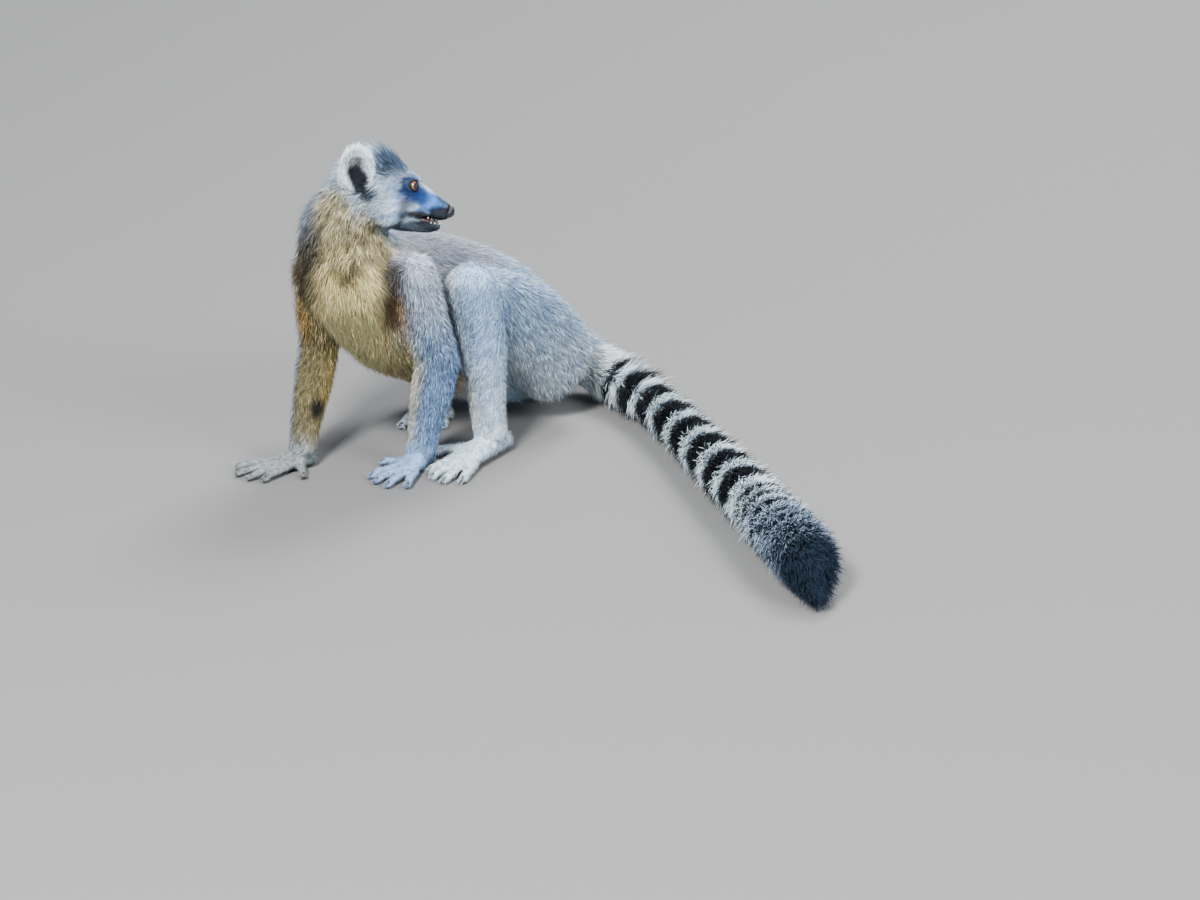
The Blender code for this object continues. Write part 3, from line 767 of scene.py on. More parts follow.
# Where each white ring of the tail starts and ends, from the rump on, in mm, and how far
# the middle line starts inside the rump.
WHITE_RINGS = [
    (-40, 18), (26, 43), (64, 80), (104, 124), (153, 173), (205, 227), (259, 281),
    (309, 331), (357, 384), (392, 404), (412, 428), (438, 452), (460, 470), (479, 486),
    (492, 498), (505, 509), (516, 519),
]
TAIL_START = 63
TAIL_STEPS = 12  # steps of the middle line from one node to the next


def tail_line():
    """The middle line of the tail, from the rump to the tip."""
    spots = [centre(name) for name in TAIL_NODES]
    start = spots[0] - (spots[1] - spots[0]) * 0.9
    start = start.lerp(centre("rump"), 0.35)
    end = spots[-1] + (spots[-1] - spots[-2]) * 0.52
    line = [start] + spots + [end]
    smooth = []
    for k in range(len(line) - 1):
        a, b = line[max(k - 1, 0)], line[k]
        c, d = line[k + 1], line[min(k + 2, len(line) - 1)]
        for step in range(TAIL_STEPS):
            t = step / TAIL_STEPS
            smooth.append(0.5 * (b * 2 + (c - a) * t + (a * 2 - b * 5 + c * 4 - d) * t * t
                                 + (b * 3 - a - c * 3 + d) * t ** 3))
    return np.array([*smooth, end])


def along_tail(points):
    """How far along the tail each point is, in mm."""
    line = tail_line()
    starts, steps = line[:-1], np.diff(line, axis=0)
    lengths = np.linalg.norm(steps, axis=1)
    before = np.concatenate([[0], np.cumsum(lengths)[:-1]])
    best, found = np.full(len(points), np.inf), np.zeros(len(points))
    for start, step, length, base in zip(starts, steps, lengths, before):
        share = np.clip(((points - start) @ step) / length ** 2, 0, 1)
        away = np.linalg.norm(points - start - share[:, None] * step, axis=1)
        closer = away < best
        best[closer], found[closer] = away[closer], (base + share * length)[closer]
    return found / MM


def tail_colours(distance, palette):
    """The colours of the rings, by the distance along the tail."""
    away = distance - TAIL_START
    white = np.zeros_like(away)
    for start, end in WHITE_RINGS:
        soft = min(3.0, (end - start) * 0.3)
        spare = min(3.0, (end - start) * 0.14)
        start, end = start + spare, end - spare
        white = np.maximum(white, fade(away, start - soft, start + soft)
                           * (1 - fade(away, end - soft, end + soft)))
    greyer = fade(away, 395, 470)
    pale = blend(palette["white"], palette["slate"], greyer * 0.45)
    pale = blend(pale, palette["black"], greyer * 0.2 + 0.35 * fade(away, 480, 520))
    pale = blend(palette["cream"], pale, 0.8 + 0.2 * fade(away, 5, 22))
    dark = blend(palette["black"], palette["charcoal"], greyer * 0.4)
    return blend(dark, pale, white)


# The left ear on the head: its base and tip in mm, and the way its hollow opens.
EAR = ((-41, 25, -16), (-51, 40, 22), (0.50, 0.86, -0.05))
# The hollow and the cup of an ear: half-sizes in mm across, into and along the ear.
HOLLOW = (13.8, 9.8, 18.0)
CUP = (14.6, 19.5)  # across and along only
# The dark depth of the hollow: its middle on the left ear and its half-sizes, in mm.
EAR_HOLE = (-42, 30, -3), (12, 14, 13)


def ear_axes(side):
    """The middle of the hollow of an ear and its ways across, out and along, in the head's
    own axes, in mm."""
    base, tip, opening = (Vector((x, side * y, z)) for x, y, z in EAR)
    along = (tip - base).normalized()
    opening = (opening - along * opening.dot(along)).normalized()
    middle = base.lerp(tip, 0.5) + opening * 7.4 + along * 2
    return (np.array(v) for v in (middle, opening.cross(along), opening, along))


def ear_shares(points, normals):
    """How much each point is inside the hollow of an ear, and how much on its open side."""
    spots = in_head(points)
    ways = normals @ np.array([AHEAD, LEFT, ABOVE]).T
    hollow, cup = np.zeros(len(points)), np.zeros(len(points))
    for _, side in SIDES:
        middle, across, opening, along = ear_axes(side)
        away = spots - middle
        wide, deep, tall = away @ across, away @ opening, away @ along
        reach = np.sqrt((wide / HOLLOW[0]) ** 2 + (deep / HOLLOW[1]) ** 2
                        + (tall / HOLLOW[2]) ** 2)
        hollow = np.maximum(hollow, 1 - fade(reach, 0.95, 1.08))
        reach = np.hypot(wide / CUP[0], tall / CUP[1])
        facing = fade(ways @ opening, -0.3, 0.2) * (deep > -14)
        near = np.linalg.norm(away, axis=1) < 40
        cup = np.maximum(cup, (1 - fade(reach, 0.9, 1.1)) * facing * near)
    return hollow, cup


class Surface:
    """The skin point by point: places, normals, nearest nodes, and where on the head."""

    def __init__(self, mesh):
        self.mesh = mesh
        self.points = places(mesh)
        self.owners = nearest_nodes(self.points)
        self.kinds = owner_kinds(self.owners)
        self.pairs = read(mesh.edges, "vertices", 2, np.int32)
        self.ease_shoulders()
        self.normals = unit(relax(read(mesh.vertices, "normal"), self.pairs, 6))
        self.head = in_head(self.points)
        hollow, cup = ear_shares(self.points, self.normals)
        self.hollow = hollow * self.of("ear")
        self.cup = np.maximum(cup, self.hollow)
        self.sole = self.soles(0.2, 0.7)

    def of(self, *kinds):
        """Which points belong to these kinds of node."""
        return np.isin(self.kinds, kinds)

    def soles(self, start, end):
        """1 on palms and soles that face down by more than end, 0 below start."""
        low = 1 - fade(self.points[:, 2] / MM, *SOLE_TOP)
        return self.of(*PAWS) * fade(-self.normals[:, 2], start, end) * low

    def ease_shoulders(self):
        """Runs the upper arms, chest and neck into each other."""
        top = self.of("upper_arm", "chest", "neck") * fade(self.points[:, 2] / MM, 130, 165)
        self.points = blend(self.points, relax(self.points, self.pairs, 16), top)
        set_places(self.mesh, self.points)

    def sink(self, depths, eyes):
        """Sets the skin under the coat by its depth, and opens the lids."""
        points = self.points - self.normals * (depths * MM)[:, None]
        points = open_lids(relax(points, self.pairs, 1), eyes)
        points[:, 2] = np.maximum(points[:, 2], SKIN_FLOOR)
        self.points = points
        set_places(self.mesh, points)
        self.normals = read(self.mesh.vertices, "normal")


def coat_rows(skin):
    """The row of HAIR at each point, longer on cheeks and crown, shorter on the muzzle."""
    rows = np.array([HAIR[name] for name in skin.kinds])
    forward, _, up = skin.head.T
    face, ear = skin.of("head"), skin.of("ear")
    muzzle = fade(forward, -6, 22) * face
    cheek = face * fade(-forward, 6, 24)
    crown = face * fade(-forward, 2, 18) * fade(up, 0, 14)
    fringe = ear * fade(up, 4, 20)
    for column, change in (
        (DEPTH, -skin.hollow), (DEPTH, -1.1 * muzzle), (LENGTH, -0.55 * muzzle),
        (DEPTH, 0.9 * cheek), (LENGTH, 1.1 * cheek), (LENGTH, 0.6 * crown),
        (LENGTH, 0.6 * fringe), (DEPTH, -skin.sole),
    ):
        rows[:, column] *= 1 + change
    rows[:, LIFT_ROOT] += 14 * crown
    rows[:, LIFT_TIP] += 14 * crown
    rows = relax(rows, skin.pairs, 22)
    rows[:, DEPTH] = np.where(skin.hollow > 0.5, 0.1, rows[:, DEPTH])
    return rows


def hair_lie(skin):
    """The way the hair lies at each point, back over the face and down the cheeks."""
    ways = hair_ways()
    lie = np.array([ways[node].normalized() for node in FLESH])[skin.owners]
    down = fade(np.abs(skin.head[:, 1]), 10, 26)[:, None] * np.array(-ABOVE) * 0.7
    lie = np.where(skin.of("head")[:, None], np.array(-AHEAD) + down, lie)
    return flat_on(unit(relax(lie, skin.pairs, 14)), skin.normals)


def base_colours(skin, palette):
    """The plain colour of each part of the coat, before its patches."""
    colours = np.array([palette[PLAIN_COLOURS[name]] for name in skin.kinds])
    names = np.array(FLESH)[skin.owners]
    x, y, z = (skin.points / MM).T
    nx, ny, nz = skin.normals.T
    chest, neck, upper_arm, hand, thigh, shin = (
        skin.of(name) for name in ("chest", "neck", "upper_arm", "hand", "thigh", "shin"))
    back = fade(nz, -0.2, 0.4)
    flank = np.minimum(fade(x, -130, -112) + fade(y, 88, 112), 1)
    neck_side = neck * fade(-nx, 0.5, 0.95)
    inwards = nx * np.where(np.char.endswith(names, "left"), -1, 1)
    arm_top = upper_arm * fade(z, 120, 165)
    far = skin.of(*ARMS) & np.char.endswith(names, "right")
    front = fade(nx * 0.6 - ny * 0.8, -0.8, -0.25)
    for where, name, share in (
        (back * skin.of("belly"), "dun", 0.95),
        (back * fade(ny, -0.35, 0.15) * chest, "dun", 0.95),
        (back * skin.of("rump"), "dun", 0.35),
        (chest * flank * fade(z, 105, 140), "dun", 0.9),
        (neck * fade(-ny, -0.2, 0.4), "cream", 0.85),
        (neck_side, "slate", 0.75),
        (neck_side, "charcoal", 0.5),
        (thigh, "frost", 0.55),
        (thigh * fade(z, 70, 130), "slate", 0.3),
        # Paler low on the thigh: partly its pale hair, partly painted light that lifts the
        # shade under it.
        (thigh * fade(-z, -130, -50), "white", 0.7),
        (hand, "slate", 0.55),
        # Paler where the thigh faces down: partly its pale hair, partly painted light that
        # lifts the shade under it.
        (thigh * fade(-nz, 0.2, 0.8), "white", 0.85),
        (thigh * fade(nz, 0.1, 0.9), "frost", 0.6),
        (skin.of("upper_arm", "forearm") * fade(inwards, 0.35, 0.9), "cream", 0.6),
        (shin * fade(-nx, 0.2, 0.85), "cream", 0.5),
        (arm_top, "dun", 0.8),
        (arm_top, "white", 0.35),
        (shin * fade(z, 30, 120) * (1 - fade(z, 150, 172)), "slate", 0.62),
        (shin * fade(-z, -90, -40), "cream", 0.3),
        # The olive on the far foreleg and hand is partly painted light, the warm light
        # through their hair, over the grey of the near limb.
        (far * front, "olive", 0.88),
        (far * hand, "frost", 0.5),
        (far * hand, "olive", 0.45),
        (far * front * upper_arm * fade(z, 105, 150), "cream", 0.4),
    ):
        colours = blend(colours, palette[name], where * share)
    return colours


def mottle(skin, colours, palette):
    """Breaks up the plain colours with patches, and darkens the sides and undersides of the
    digits with painted shade.
    """
    z = skin.points[:, 2] / MM
    face, paws = skin.of("head"), skin.of(*PAWS)
    throat = skin.of("neck") * fade(-skin.normals[:, 1], -0.2, 0.4)
    front = skin.of("chest") * fade(z, 130, 200)
    limbs = skin.of("forearm", "shin", "thigh", "upper_arm")
    for where, size, shift, low, name, share in (
        (throat, 6, 5, 0.0, "olive", 0.5), (throat, 5, 6, 0.1, "brown", 0.7),
        (front, 6, 5, 0.0, "olive", 0.15), (limbs, 4, 7, 0.1, "charcoal", 0.3),
        (skin.of("rump"), 6, 8, 0.1, "slate", 0.3), (paws, 3, 9, 0.0, "charcoal", 0.4),
        (face, 3.5, 11, 0.0, "slate", 0.5), (face, 7, 12, 0.0, "frost", 0.5),
        (face, 2, 13, 0.1, "charcoal", 0.45),
    ):
        patches = where * fade(cloudy(skin.points, size * MM, shift), low, low + 0.35)
        colours = blend(colours, palette[name], patches * share)
    # Painted shade: the sides and undersides of the fingers and toes, low down, darkened
    # where they face away from above.
    sides = paws * fade(-skin.normals[:, 2], -0.45, 0.3) * (1 - fade(z, 13, 22))
    return blend(colours, palette["charcoal"], sides * 0.65)


def bare_marks(skin, colours, palette, eyes):
    """Bare skin: lids, palms and soles, and the edge of the mouth."""
    forward, _, up = in_head(skin.points).T
    leather = np.array(palette["leather"])
    face = skin.of("head", "ear")
    lids = face * (1 - fade(lid_edge(skin.points, eyes), 1.30, 1.62))
    colours = blend(colours, leather * 0.35, lids)
    colours = blend(colours, leather, skin.soles(0.1, 0.6))
    from_lips = np.abs(up + 25.8 + (forward - 6) * 0.02)
    lip = face * (forward > 2) * (1 - fade(from_lips, 1.6, 3.0))
    return blend(colours, leather * 0.12, lip * 0.9)


def both_sides(spots):
    """Places on the head, with those on the right side moved to the left."""
    return np.c_[spots[:, 0], np.abs(spots[:, 1]), spots[:, 2]]


def paint_skin(skin, palette, eyes):
    """The colour of each point: plain, mottled, ringed and marked, with its bare places."""
    colours = relax(base_colours(skin, palette), skin.pairs, 26)
    colours = mottle(skin, colours, palette)
    head, ear, tail = (skin.of(name) for name in ("head", "ear", "tail"))
    distance = along_tail(skin.points)
    ringed = tail | (skin.of("rump") & (distance > TAIL_START - 25))
    ringed = ringed * np.where(tail, 1, fade(distance, 38, 60))
    colours = blend(colours, tail_colours(distance, palette), ringed)
    in_front = skin.head[:, 0] > -62
    ragged = cloudy(skin.points, 5 * MM, 3) * 0.18
    spots = both_sides(skin.head)
    marked = blend_marks(colours, spots, [*HEAD_MARKS, EAR_NOTCH], ragged, palette)
    colours = np.where((head & in_front)[:, None], marked, colours)
    marked = blend_marks(colours, spots, EAR_MARKS, ragged, palette)
    colours = blend(colours, marked, skin.cup)
    marked = blend_marks(colours, spots, [EAR_NOTCH], ragged, palette)
    colours = blend(colours, marked, ear & in_front)
    marked = blend_marks(colours, skin.points / MM, BODY_MARKS, ragged, palette)
    plain = ((head | ear) & in_front) | tail
    colours = np.where(plain[:, None], colours, marked)
    return bare_marks(skin, colours, palette, eyes)


def bald_share(skin, eyes):
    """1 where no hair grows: the depth of the ears, palms and soles, and the lids."""
    middle, sizes = EAR_HOLE
    deep = np.linalg.norm((both_sides(skin.head) - middle) / sizes, axis=1)
    hole = skin.hollow * (1 - fade(deep, 0.8, 1.1))
    lids = 1 - fade(lid_edge(skin.points, eyes), 1.45, 1.6)
    return np.maximum.reduce([skin.hollow * 0.5, hole, skin.sole, lids])


class LEMUR_OT_skin(bpy.types.Operator):
    """Fuses the flesh into one skin under the coat, with lids, folds and markings"""
    bl_idname = "lemur.skin"
    bl_label = "Skin"

    def execute(self, context):
        eyes = context.scene.lemur_eyes
        body = fused_flesh(context.scene.lemur_skin, eyes)
        mesh = body.data
        skin = Surface(mesh)
        rows = coat_rows(skin)
        skin.sink(rows[:, DEPTH], eyes)
        lie = hair_lie(skin)
        colours = paint_skin(skin, picked_colours(), eyes)
        store(mesh, "markings", with_alpha(colours), "FLOAT_COLOR")
        store(mesh, "lie", lie, "FLOAT_VECTOR")
        for name, column in COAT_VALUES.items():
            store(mesh, name, rows[:, column])
        store(mesh, "bald", bald_share(skin, eyes))
        store(mesh, "owner", skin.owners)
        finish_piece(body, FLESH, skin_material())
        smooth(body)
        return {"FINISHED"}


# ---------------------------------------------------------------- coat

# For each piece: its kinds of node or its nodes, its slot, and the width of a tuft in mm.
COAT_PIECES = {
    "coat_head": (("head", "ear"), "face_coat", 0.44),
    "coat_neck_chest": (("neck", "chest"), "pale_coat", 0.74),
    "coat_belly": (("belly",), "grey_coat", 0.8),
    "coat_rump": (("rump",), "grey_coat", 0.78),
    "coat_arms": (ARMS, "grey_coat", 0.62),
    "coat_thighs": (("thigh",), "grey_coat", 0.68),
    "coat_shins": (("shin", "foot"), "grey_coat", 0.62),
    "coat_tail_front": (("tail_1", "tail_2", "tail_3"), "ringed_coat", 1.0),
    "coat_tail_end": (("tail_4", "tail_5", "tail_6"), "ringed_coat", 1.05),
}
RINGS = ((0.0, 1.0), (0.45, 0.72))  # how far along a tuft each ring is, and how wide
TUFT_POINTS = 7
TUFT_FLATNESS = 0.6
TUFT_SPREAD = (0.16, 0.22, 0.25, 0.5)  # how much tufts differ in turn, length and lifts
TUFT_CHANCE = 0.18  # how much they differ in bend and in width
BAKE_PATCH = 0.003  # how wide and high the patch of each tuft in OFBake is
ATLAS_MARGIN = 0.006


def unwrap_patch(skin, chosen):
    """The chosen faces of the skin laid out flat by themselves, one corner after another."""
    corners = read(skin.data.loops, "vertex_index", 1, np.int32)
    starts = read(skin.data.polygons, "loop_start", 1, np.int32)
    counts = read(skin.data.polygons, "loop_total", 1, np.int32)
    faces = [corners[starts[i]:starts[i] + counts[i]] for i in chosen]
    used, inverse = np.unique(np.concatenate(faces), return_inverse=True)
    splits = np.split(inverse, np.cumsum(counts[chosen])[:-1])
    patch = make_mesh("patch", places(skin.data)[used], [face.tolist() for face in splits])
    patch.data.uv_layers.new(name="flat")
    edit_all(patch, bpy.ops.uv.smart_project, angle_limit=math.radians(66),
             island_margin=ATLAS_MARGIN)
    flat = read(patch.data.uv_layers["flat"].data, "uv", 2)
    bpy.data.objects.remove(patch)
    low, high = flat.min(0), flat.max(0)
    return ATLAS_MARGIN + (1 - 2 * ATLAS_MARGIN) * (flat - low) / np.maximum(high - low, 1e-6)


class Roots:
    """Places on the skin for the roots of one piece of the coat, and the hair there."""

    def __init__(self, skin, names, coat, seed):
        self.mesh = mesh = skin.data
        mesh.calc_loop_triangles()
        wanted = np.array([node in names or kind(node) in names for node in FLESH])
        wanted = wanted[stored(mesh, "owner").astype(int)]
        first = read(mesh.polygons, "loop_start", 1, np.int32)
        counts = read(mesh.polygons, "loop_total", 1, np.int32)
        lead = read(mesh.loops, "vertex_index", 1, np.int32)[first]
        chosen = np.flatnonzero(wanted[lead])
        flat = unwrap_patch(skin, chosen)
        new_first = np.zeros(len(counts), dtype=int)
        new_first[chosen] = np.concatenate([[0], np.cumsum(counts[chosen])[:-1]])
        polygons = read(mesh.loop_triangles, "polygon_index", 1, np.int32)
        keep = wanted[lead[polygons]]
        move = (new_first - first)[polygons[keep]]
        triangles = read(mesh.loop_triangles, "vertices", 3, np.int32)[keep]
        loops = read(mesh.loop_triangles, "loops", 3, np.int32)[keep] + move[:, None]
        picked = self.pick(triangles, coat, seed)
        self.corners = triangles[picked]
        self.at = self.mix(places(mesh))
        self.flat = (flat[loops[picked]] * self.weights[:, :, None]).sum(1)
        self.normal = unit(self.mix(read(mesh.vertices, "normal")))
        self.lie = flat_on(self.mix(stored(mesh, "lie", 3)), self.normal)
        self.colour = self.mix(stored(mesh, "markings", 4)[:, :3])
        self.length, self.lift_root, self.lift_tip, self.grizzle = (
            (stored(mesh, name)[self.corners] * self.weights).sum(1)
            for name in ("length", "lift_root", "lift_tip", "grizzle"))

    def pick(self, triangles, coat, seed):
        """The triangle of each root: evenly along the sum of the roots that are due."""
        a, b, c = (places(self.mesh)[triangles[:, k]] for k in range(3))
        area = np.linalg.norm(np.cross(b - a, c - a), axis=1) / 2
        spacing = stored(self.mesh, "spacing")[triangles].mean(1) * MM * coat.spacing
        bald = stored(self.mesh, "bald")[triangles].mean(1)
        due = np.cumsum(area / spacing ** 2 * (1 - bald))
        self.count = count = min(int(due[-1]), coat.most_tufts)
        self.draw = np.random.default_rng(seed)
        marks = (np.arange(count) + self.draw.random(count)) / count * due[-1]
        u, v = self.draw.random((2, count))
        over = u + v > 1
        u[over], v[over] = 1 - u[over], 1 - v[over]
        self.weights = np.c_[1 - u - v, u, v]
        return np.minimum(np.searchsorted(due, marks), len(due) - 1)

    def mix(self, values):
        """Rows of the skin's points, mixed at each root."""
        return (values[self.corners] * self.weights[:, :, None]).sum(1)


def lifted(lie, normal, degrees):
    """The lie of the hair, lifted off the skin."""
    angle = np.radians(degrees)
    return lie * np.cos(angle)[:, None] + normal * np.sin(angle)[:, None]


def tuft_points(roots, width):
    """The points of each curved tuft: a ring of three at its root, a second, and its tip."""
    draw, count = roots.draw, roots.count
    turned, longer, root_more, tip_more = (draw.normal(0, 1, (count, 4)) * TUFT_SPREAD).T
    across = np.cross(roots.lie, roots.normal)
    clump = cloudy(roots.at, 9 * MM, 1) * 0.45
    lie = unit(roots.lie + across * (clump + turned)[:, None])
    across = np.cross(lie, roots.normal)
    length = roots.length * MM * np.clip(1 + longer, 0.5, 1.6)
    lift = np.clip(roots.lift_root * (1 + root_more), 4, 70)
    begin = lifted(lie, roots.normal, lift)
    bend = draw.normal(0, TUFT_CHANCE, count)[:, None]
    end = lifted(lie, roots.normal, roots.lift_tip * (1 + tip_more))
    end = unit(end + across * bend)
    root = roots.at - roots.normal * 0.3 * MM
    half = width * MM / 2 * np.sqrt(roots.length / np.median(roots.length))
    half = half * np.clip(1 + draw.normal(0, TUFT_CHANCE, count), 0.5, 1.6)
    points = np.empty((count, TUFT_POINTS, 3))
    for ring, (share, wide) in enumerate(RINGS):
        middle = root + length[:, None] * (begin * (share - share ** 2 / 2)
                                           + end * (share ** 2 / 2))
        over = np.cross(across, unit(begin * (1 - share) + end * share))
        for corner in range(3):
            angle = math.radians(90 + 120 * corner)
            points[:, ring * 3 + corner] = (
                middle + across * (math.cos(angle) * half * wide)[:, None]
                + over * (math.sin(angle) * half * wide * TUFT_FLATNESS)[:, None])
    points[:, -1] = root + length[:, None] * (begin + end) / 2
    points[:, :, 2] = np.maximum(points[:, :, 2], TUFT_FLOOR)
    return points


def tuft_plan():
    """The faces of a tuft by its points, and where their corners are in its patch: how far
    round in thirds and how far up."""
    faces, spots = [(0, 2, 1)], [((0, 0), (2, 0.1), (1, 0.12))]
    for near in range(3):
        after = (near + 1) % 3
        faces += [(near, after, 3 + after), (near, 3 + after, 3 + near),
                  (3 + near, 3 + after, 6)]
        low, low_after, tip = (near, 0), (near + 1, 0), (near + 0.5, 1)
        high, high_after = (near, 0.5), (near + 1, 0.5)
        spots += [(low, low_after, high_after), (low, high_after, high),
                  (high, high_after, tip)]
    return np.array(faces), (np.array(spots) / (3, 1) - 0.5) * BAKE_PATCH


def tuft_shades(roots, colours, dark_root):
    """The colours of the points of each tuft: darker at the root, and grizzled."""
    draw, count, grizzle = roots.draw, roots.count, roots.grizzle
    light = np.exp(draw.normal(0, 1, count) * (0.10 + 0.36 * grizzle))
    light *= 1 + cloudy(roots.at, 12 * MM, 2) * 0.14
    light *= np.where(draw.random(count) < 0.24 * grizzle, 0.4, 1.0)
    tip = 1.14 + 0.22 * grizzle + draw.normal(0, 1, count) * (0.10 + 0.35 * grizzle)
    body = colours * light[:, None]
    shades = np.empty((count, TUFT_POINTS, 3))
    shades[:, :3] = (colours * dark_root)[:, None]
    shades[:, 3:6] = body[:, None]
    shades[:, 6] = body * tip[:, None]
    return np.clip(shades, 0.002, 0.95)


def grow_tufts(name, roots, width, palette):
    """One mesh of curved three-sided tufts that taper to a point."""
    points = tuft_points(roots, width)
    faces, patches = tuft_plan()
    index = faces + np.arange(roots.count)[:, None, None] * TUFT_POINTS
    mesh = bpy.data.meshes.new(name)
    mesh.vertices.add(roots.count * TUFT_POINTS)
    mesh.loops.add(index.size)
    mesh.polygons.add(index.size // 3)
    mesh.vertices.foreach_set("co", points.ravel())
    mesh.loops.foreach_set("vertex_index", index.ravel())
    mesh.polygons.foreach_set("loop_start", np.arange(0, index.size, 3))
    mesh.update(calc_edges=True)
    colours, dark_root = roots.colour, 0.6
    if "tail" in name:
        seen = along_tail(points[:, 3:].mean(1)) + roots.draw.normal(0, 0.8, roots.count)
        colours, dark_root = tail_colours(seen, palette), 0.75
    store(mesh, "markings", with_alpha(tuft_shades(roots, colours, dark_root)), "FLOAT_COLOR")
    layer = mesh.uv_layers.new(name="OFBake")
    flat = np.clip(roots.flat[:, None, None] + patches, 0, 1)
    layer.data.foreach_set("uv", flat.astype(np.float32).ravel())
    mesh.validate()
    return link(bpy.data.objects.new(name, mesh))


class LEMUR_OT_coat(bpy.types.Operator):
    """Grows the coat over the skin, one piece for each area of the body"""
    bl_idname = "lemur.coat"
    bl_label = "Coat"

    def execute(self, context):
        coat = context.scene.lemur_coat
        skin = bpy.data.objects["skin"]
        material = coat_material()
        for number, (name, (names, slot, width)) in enumerate(COAT_PIECES.items()):
            roots = Roots(skin, names, coat, SEED + number)
            tufts = grow_tufts(name, roots, width * coat.width, picked_colours())
            finish_piece(tufts, (), material)
        return {"FINISHED"}


# ---------------------------------------------------------------- eyes and nose


class LEMUR_OT_eyes(bpy.types.Operator):
    """Adds the two eyes, each with a bulging cornea over its iris"""
    bl_idname = "lemur.eyes"
    bl_label = "Eyes"

    def execute(self, context):
        material = eye_material(Vector(context.scene.lemur_eyes.iris))
        radius, bulge = eye_radius(), 0.55 * MM
        for eye in EYES:
            middle, gaze, _, _ = eye_axes(eye)
            ball = sphere(64, 48, radius)
            ball.name = ball.data.name = eye + "_ball"
            points = places(ball.data)
            angle = np.arccos(np.clip(points[:, 2] / radius, -1, 1))
            cornea = bulge * (1 - fade(angle, 0.15, 0.75))
            set_places(ball.data, points * (1 + cornea / radius)[:, None])
            store(ball.data, "gaze", angle / (math.pi / 2))
            turn = gaze.to_track_quat("Z", "Y").to_matrix().to_4x4()
            ball.data.transform(Matrix.Translation(middle) @ turn)
            smooth(ball)
            finish_piece(ball, (eye,), material)
        return {"FINISHED"}


NOSTRIL = (3.4, -17.2, 1.7, 1.3)  # how far out and up it is, and half-sizes, in mm


class LEMUR_OT_nose(bpy.types.Operator):
    """Shapes the bare nose, with its nostrils and the groove below it"""
    bl_idname = "lemur.nose"
    bl_label = "Nose"

    def execute(self, context):
        pad = node_copy("nose")
        pad.name = pad.data.name = "nose_pad"
        edit_all(pad, bpy.ops.mesh.remove_doubles, threshold=WELD)
        apply_modifier(pad, "DISPLACE", strength=0.35 * MM, mid_level=0)
        apply_modifier(pad, "REMESH", mode="VOXEL", voxel_size=0.35 * MM)
        apply_modifier(pad, "SMOOTH", iterations=8, factor=0.6)
        points = places(pad.data)
        forward, side, up = in_head(points).T
        out, high, wide, tall = NOSTRIL
        hole = np.hypot((np.abs(side) - out) / wide, (up - high) / tall)
        nostrils = 1.5 * (1 - fade(hole, 0.55, 1.2))
        groove = 0.5 * (1 - fade(np.abs(side) / 0.45, 0.3, 1.4)) * (up < -15.5)
        sunk = (nostrils + groove) * (forward > 36)
        points -= read(pad.data.vertices, "normal") * sunk[:, None] * MM
        set_places(pad.data, points)
        smooth(pad)
        finish_piece(pad, ("nose",),
                     horn_material("nose", (0.008, 0.008, 0.010), 0.42, 0.25))
        return {"FINISHED"}


# ---------------------------------------------------------------- nails, mouth, whiskers

# The tip of each finger and toe: x and y in mm in the frame, and its heading in degrees.
NAILS = [
    (-143, 31, -142), (-138, 17, -130), (-127, 6, -117), (-110, 5, -101), (-134, 66, 171),
    (-91, 43, -135), (-88, 28, -127), (-77, 18, -117), (-61, 19, -106), (-88, 90, -175),
    (-238, 21, -128), (-252, 26, -140), (-263, 37, -153), (-263, 55, -169),
    (-203, 30, -81), (-81, 162, -85), (-93, 152, -93), (-108, 151, -103),
    (-120, 162, -114), (-78, 187, -83),
]
NAIL_SIZES = (3.4, 1.9, 0.75)  # half the length, width and height, in mm


class LEMUR_OT_nails(bpy.types.Operator):
    """Models one small arched nail and sets a copy on every finger and toe"""
    bl_idname = "lemur.nails"
    bl_label = "Nails"

    def execute(self, context):
        skin = bpy.data.objects["skin"]
        nail = sphere(20, 12)
        points = places(nail.data) * (np.array(NAIL_SIZES) * MM)
        points[:, 2] -= (points[:, 1] / MM) ** 2 * 0.22 * MM
        points[:, 2] -= np.maximum(points[:, 0] / MM, 0) ** 2 * 0.10 * MM
        set_places(nail.data, points)
        smooth(nail)
        nails = []
        for x, y, heading in NAILS:
            ahead = Matrix.Rotation(math.radians(heading), 3, "Z") @ Vector((1, 0, 0))
            above = Vector((x, y, 10)) * MM + ahead * 2.0 * MM
            _, where, normal, _ = skin.closest_point_on_mesh(above)
            normal = (normal.normalized() + UP * 0.6).normalized()
            along = (ahead - normal * ahead.dot(normal)).normalized()
            turn = Matrix((along, normal.cross(along), normal)).transposed().to_4x4()
            copy = nail.copy()
            copy.data = nail.data.copy()
            copy.data.transform(Matrix.Translation(where + normal * 0.1 * MM) @ turn)
            nails.append(link(copy))
        bpy.data.objects.remove(nail)
        finish_piece(join_pieces("nails", nails), (),
                     horn_material("nail", (0.07, 0.065, 0.06), 0.32, 0.3))
        return {"FINISHED"}


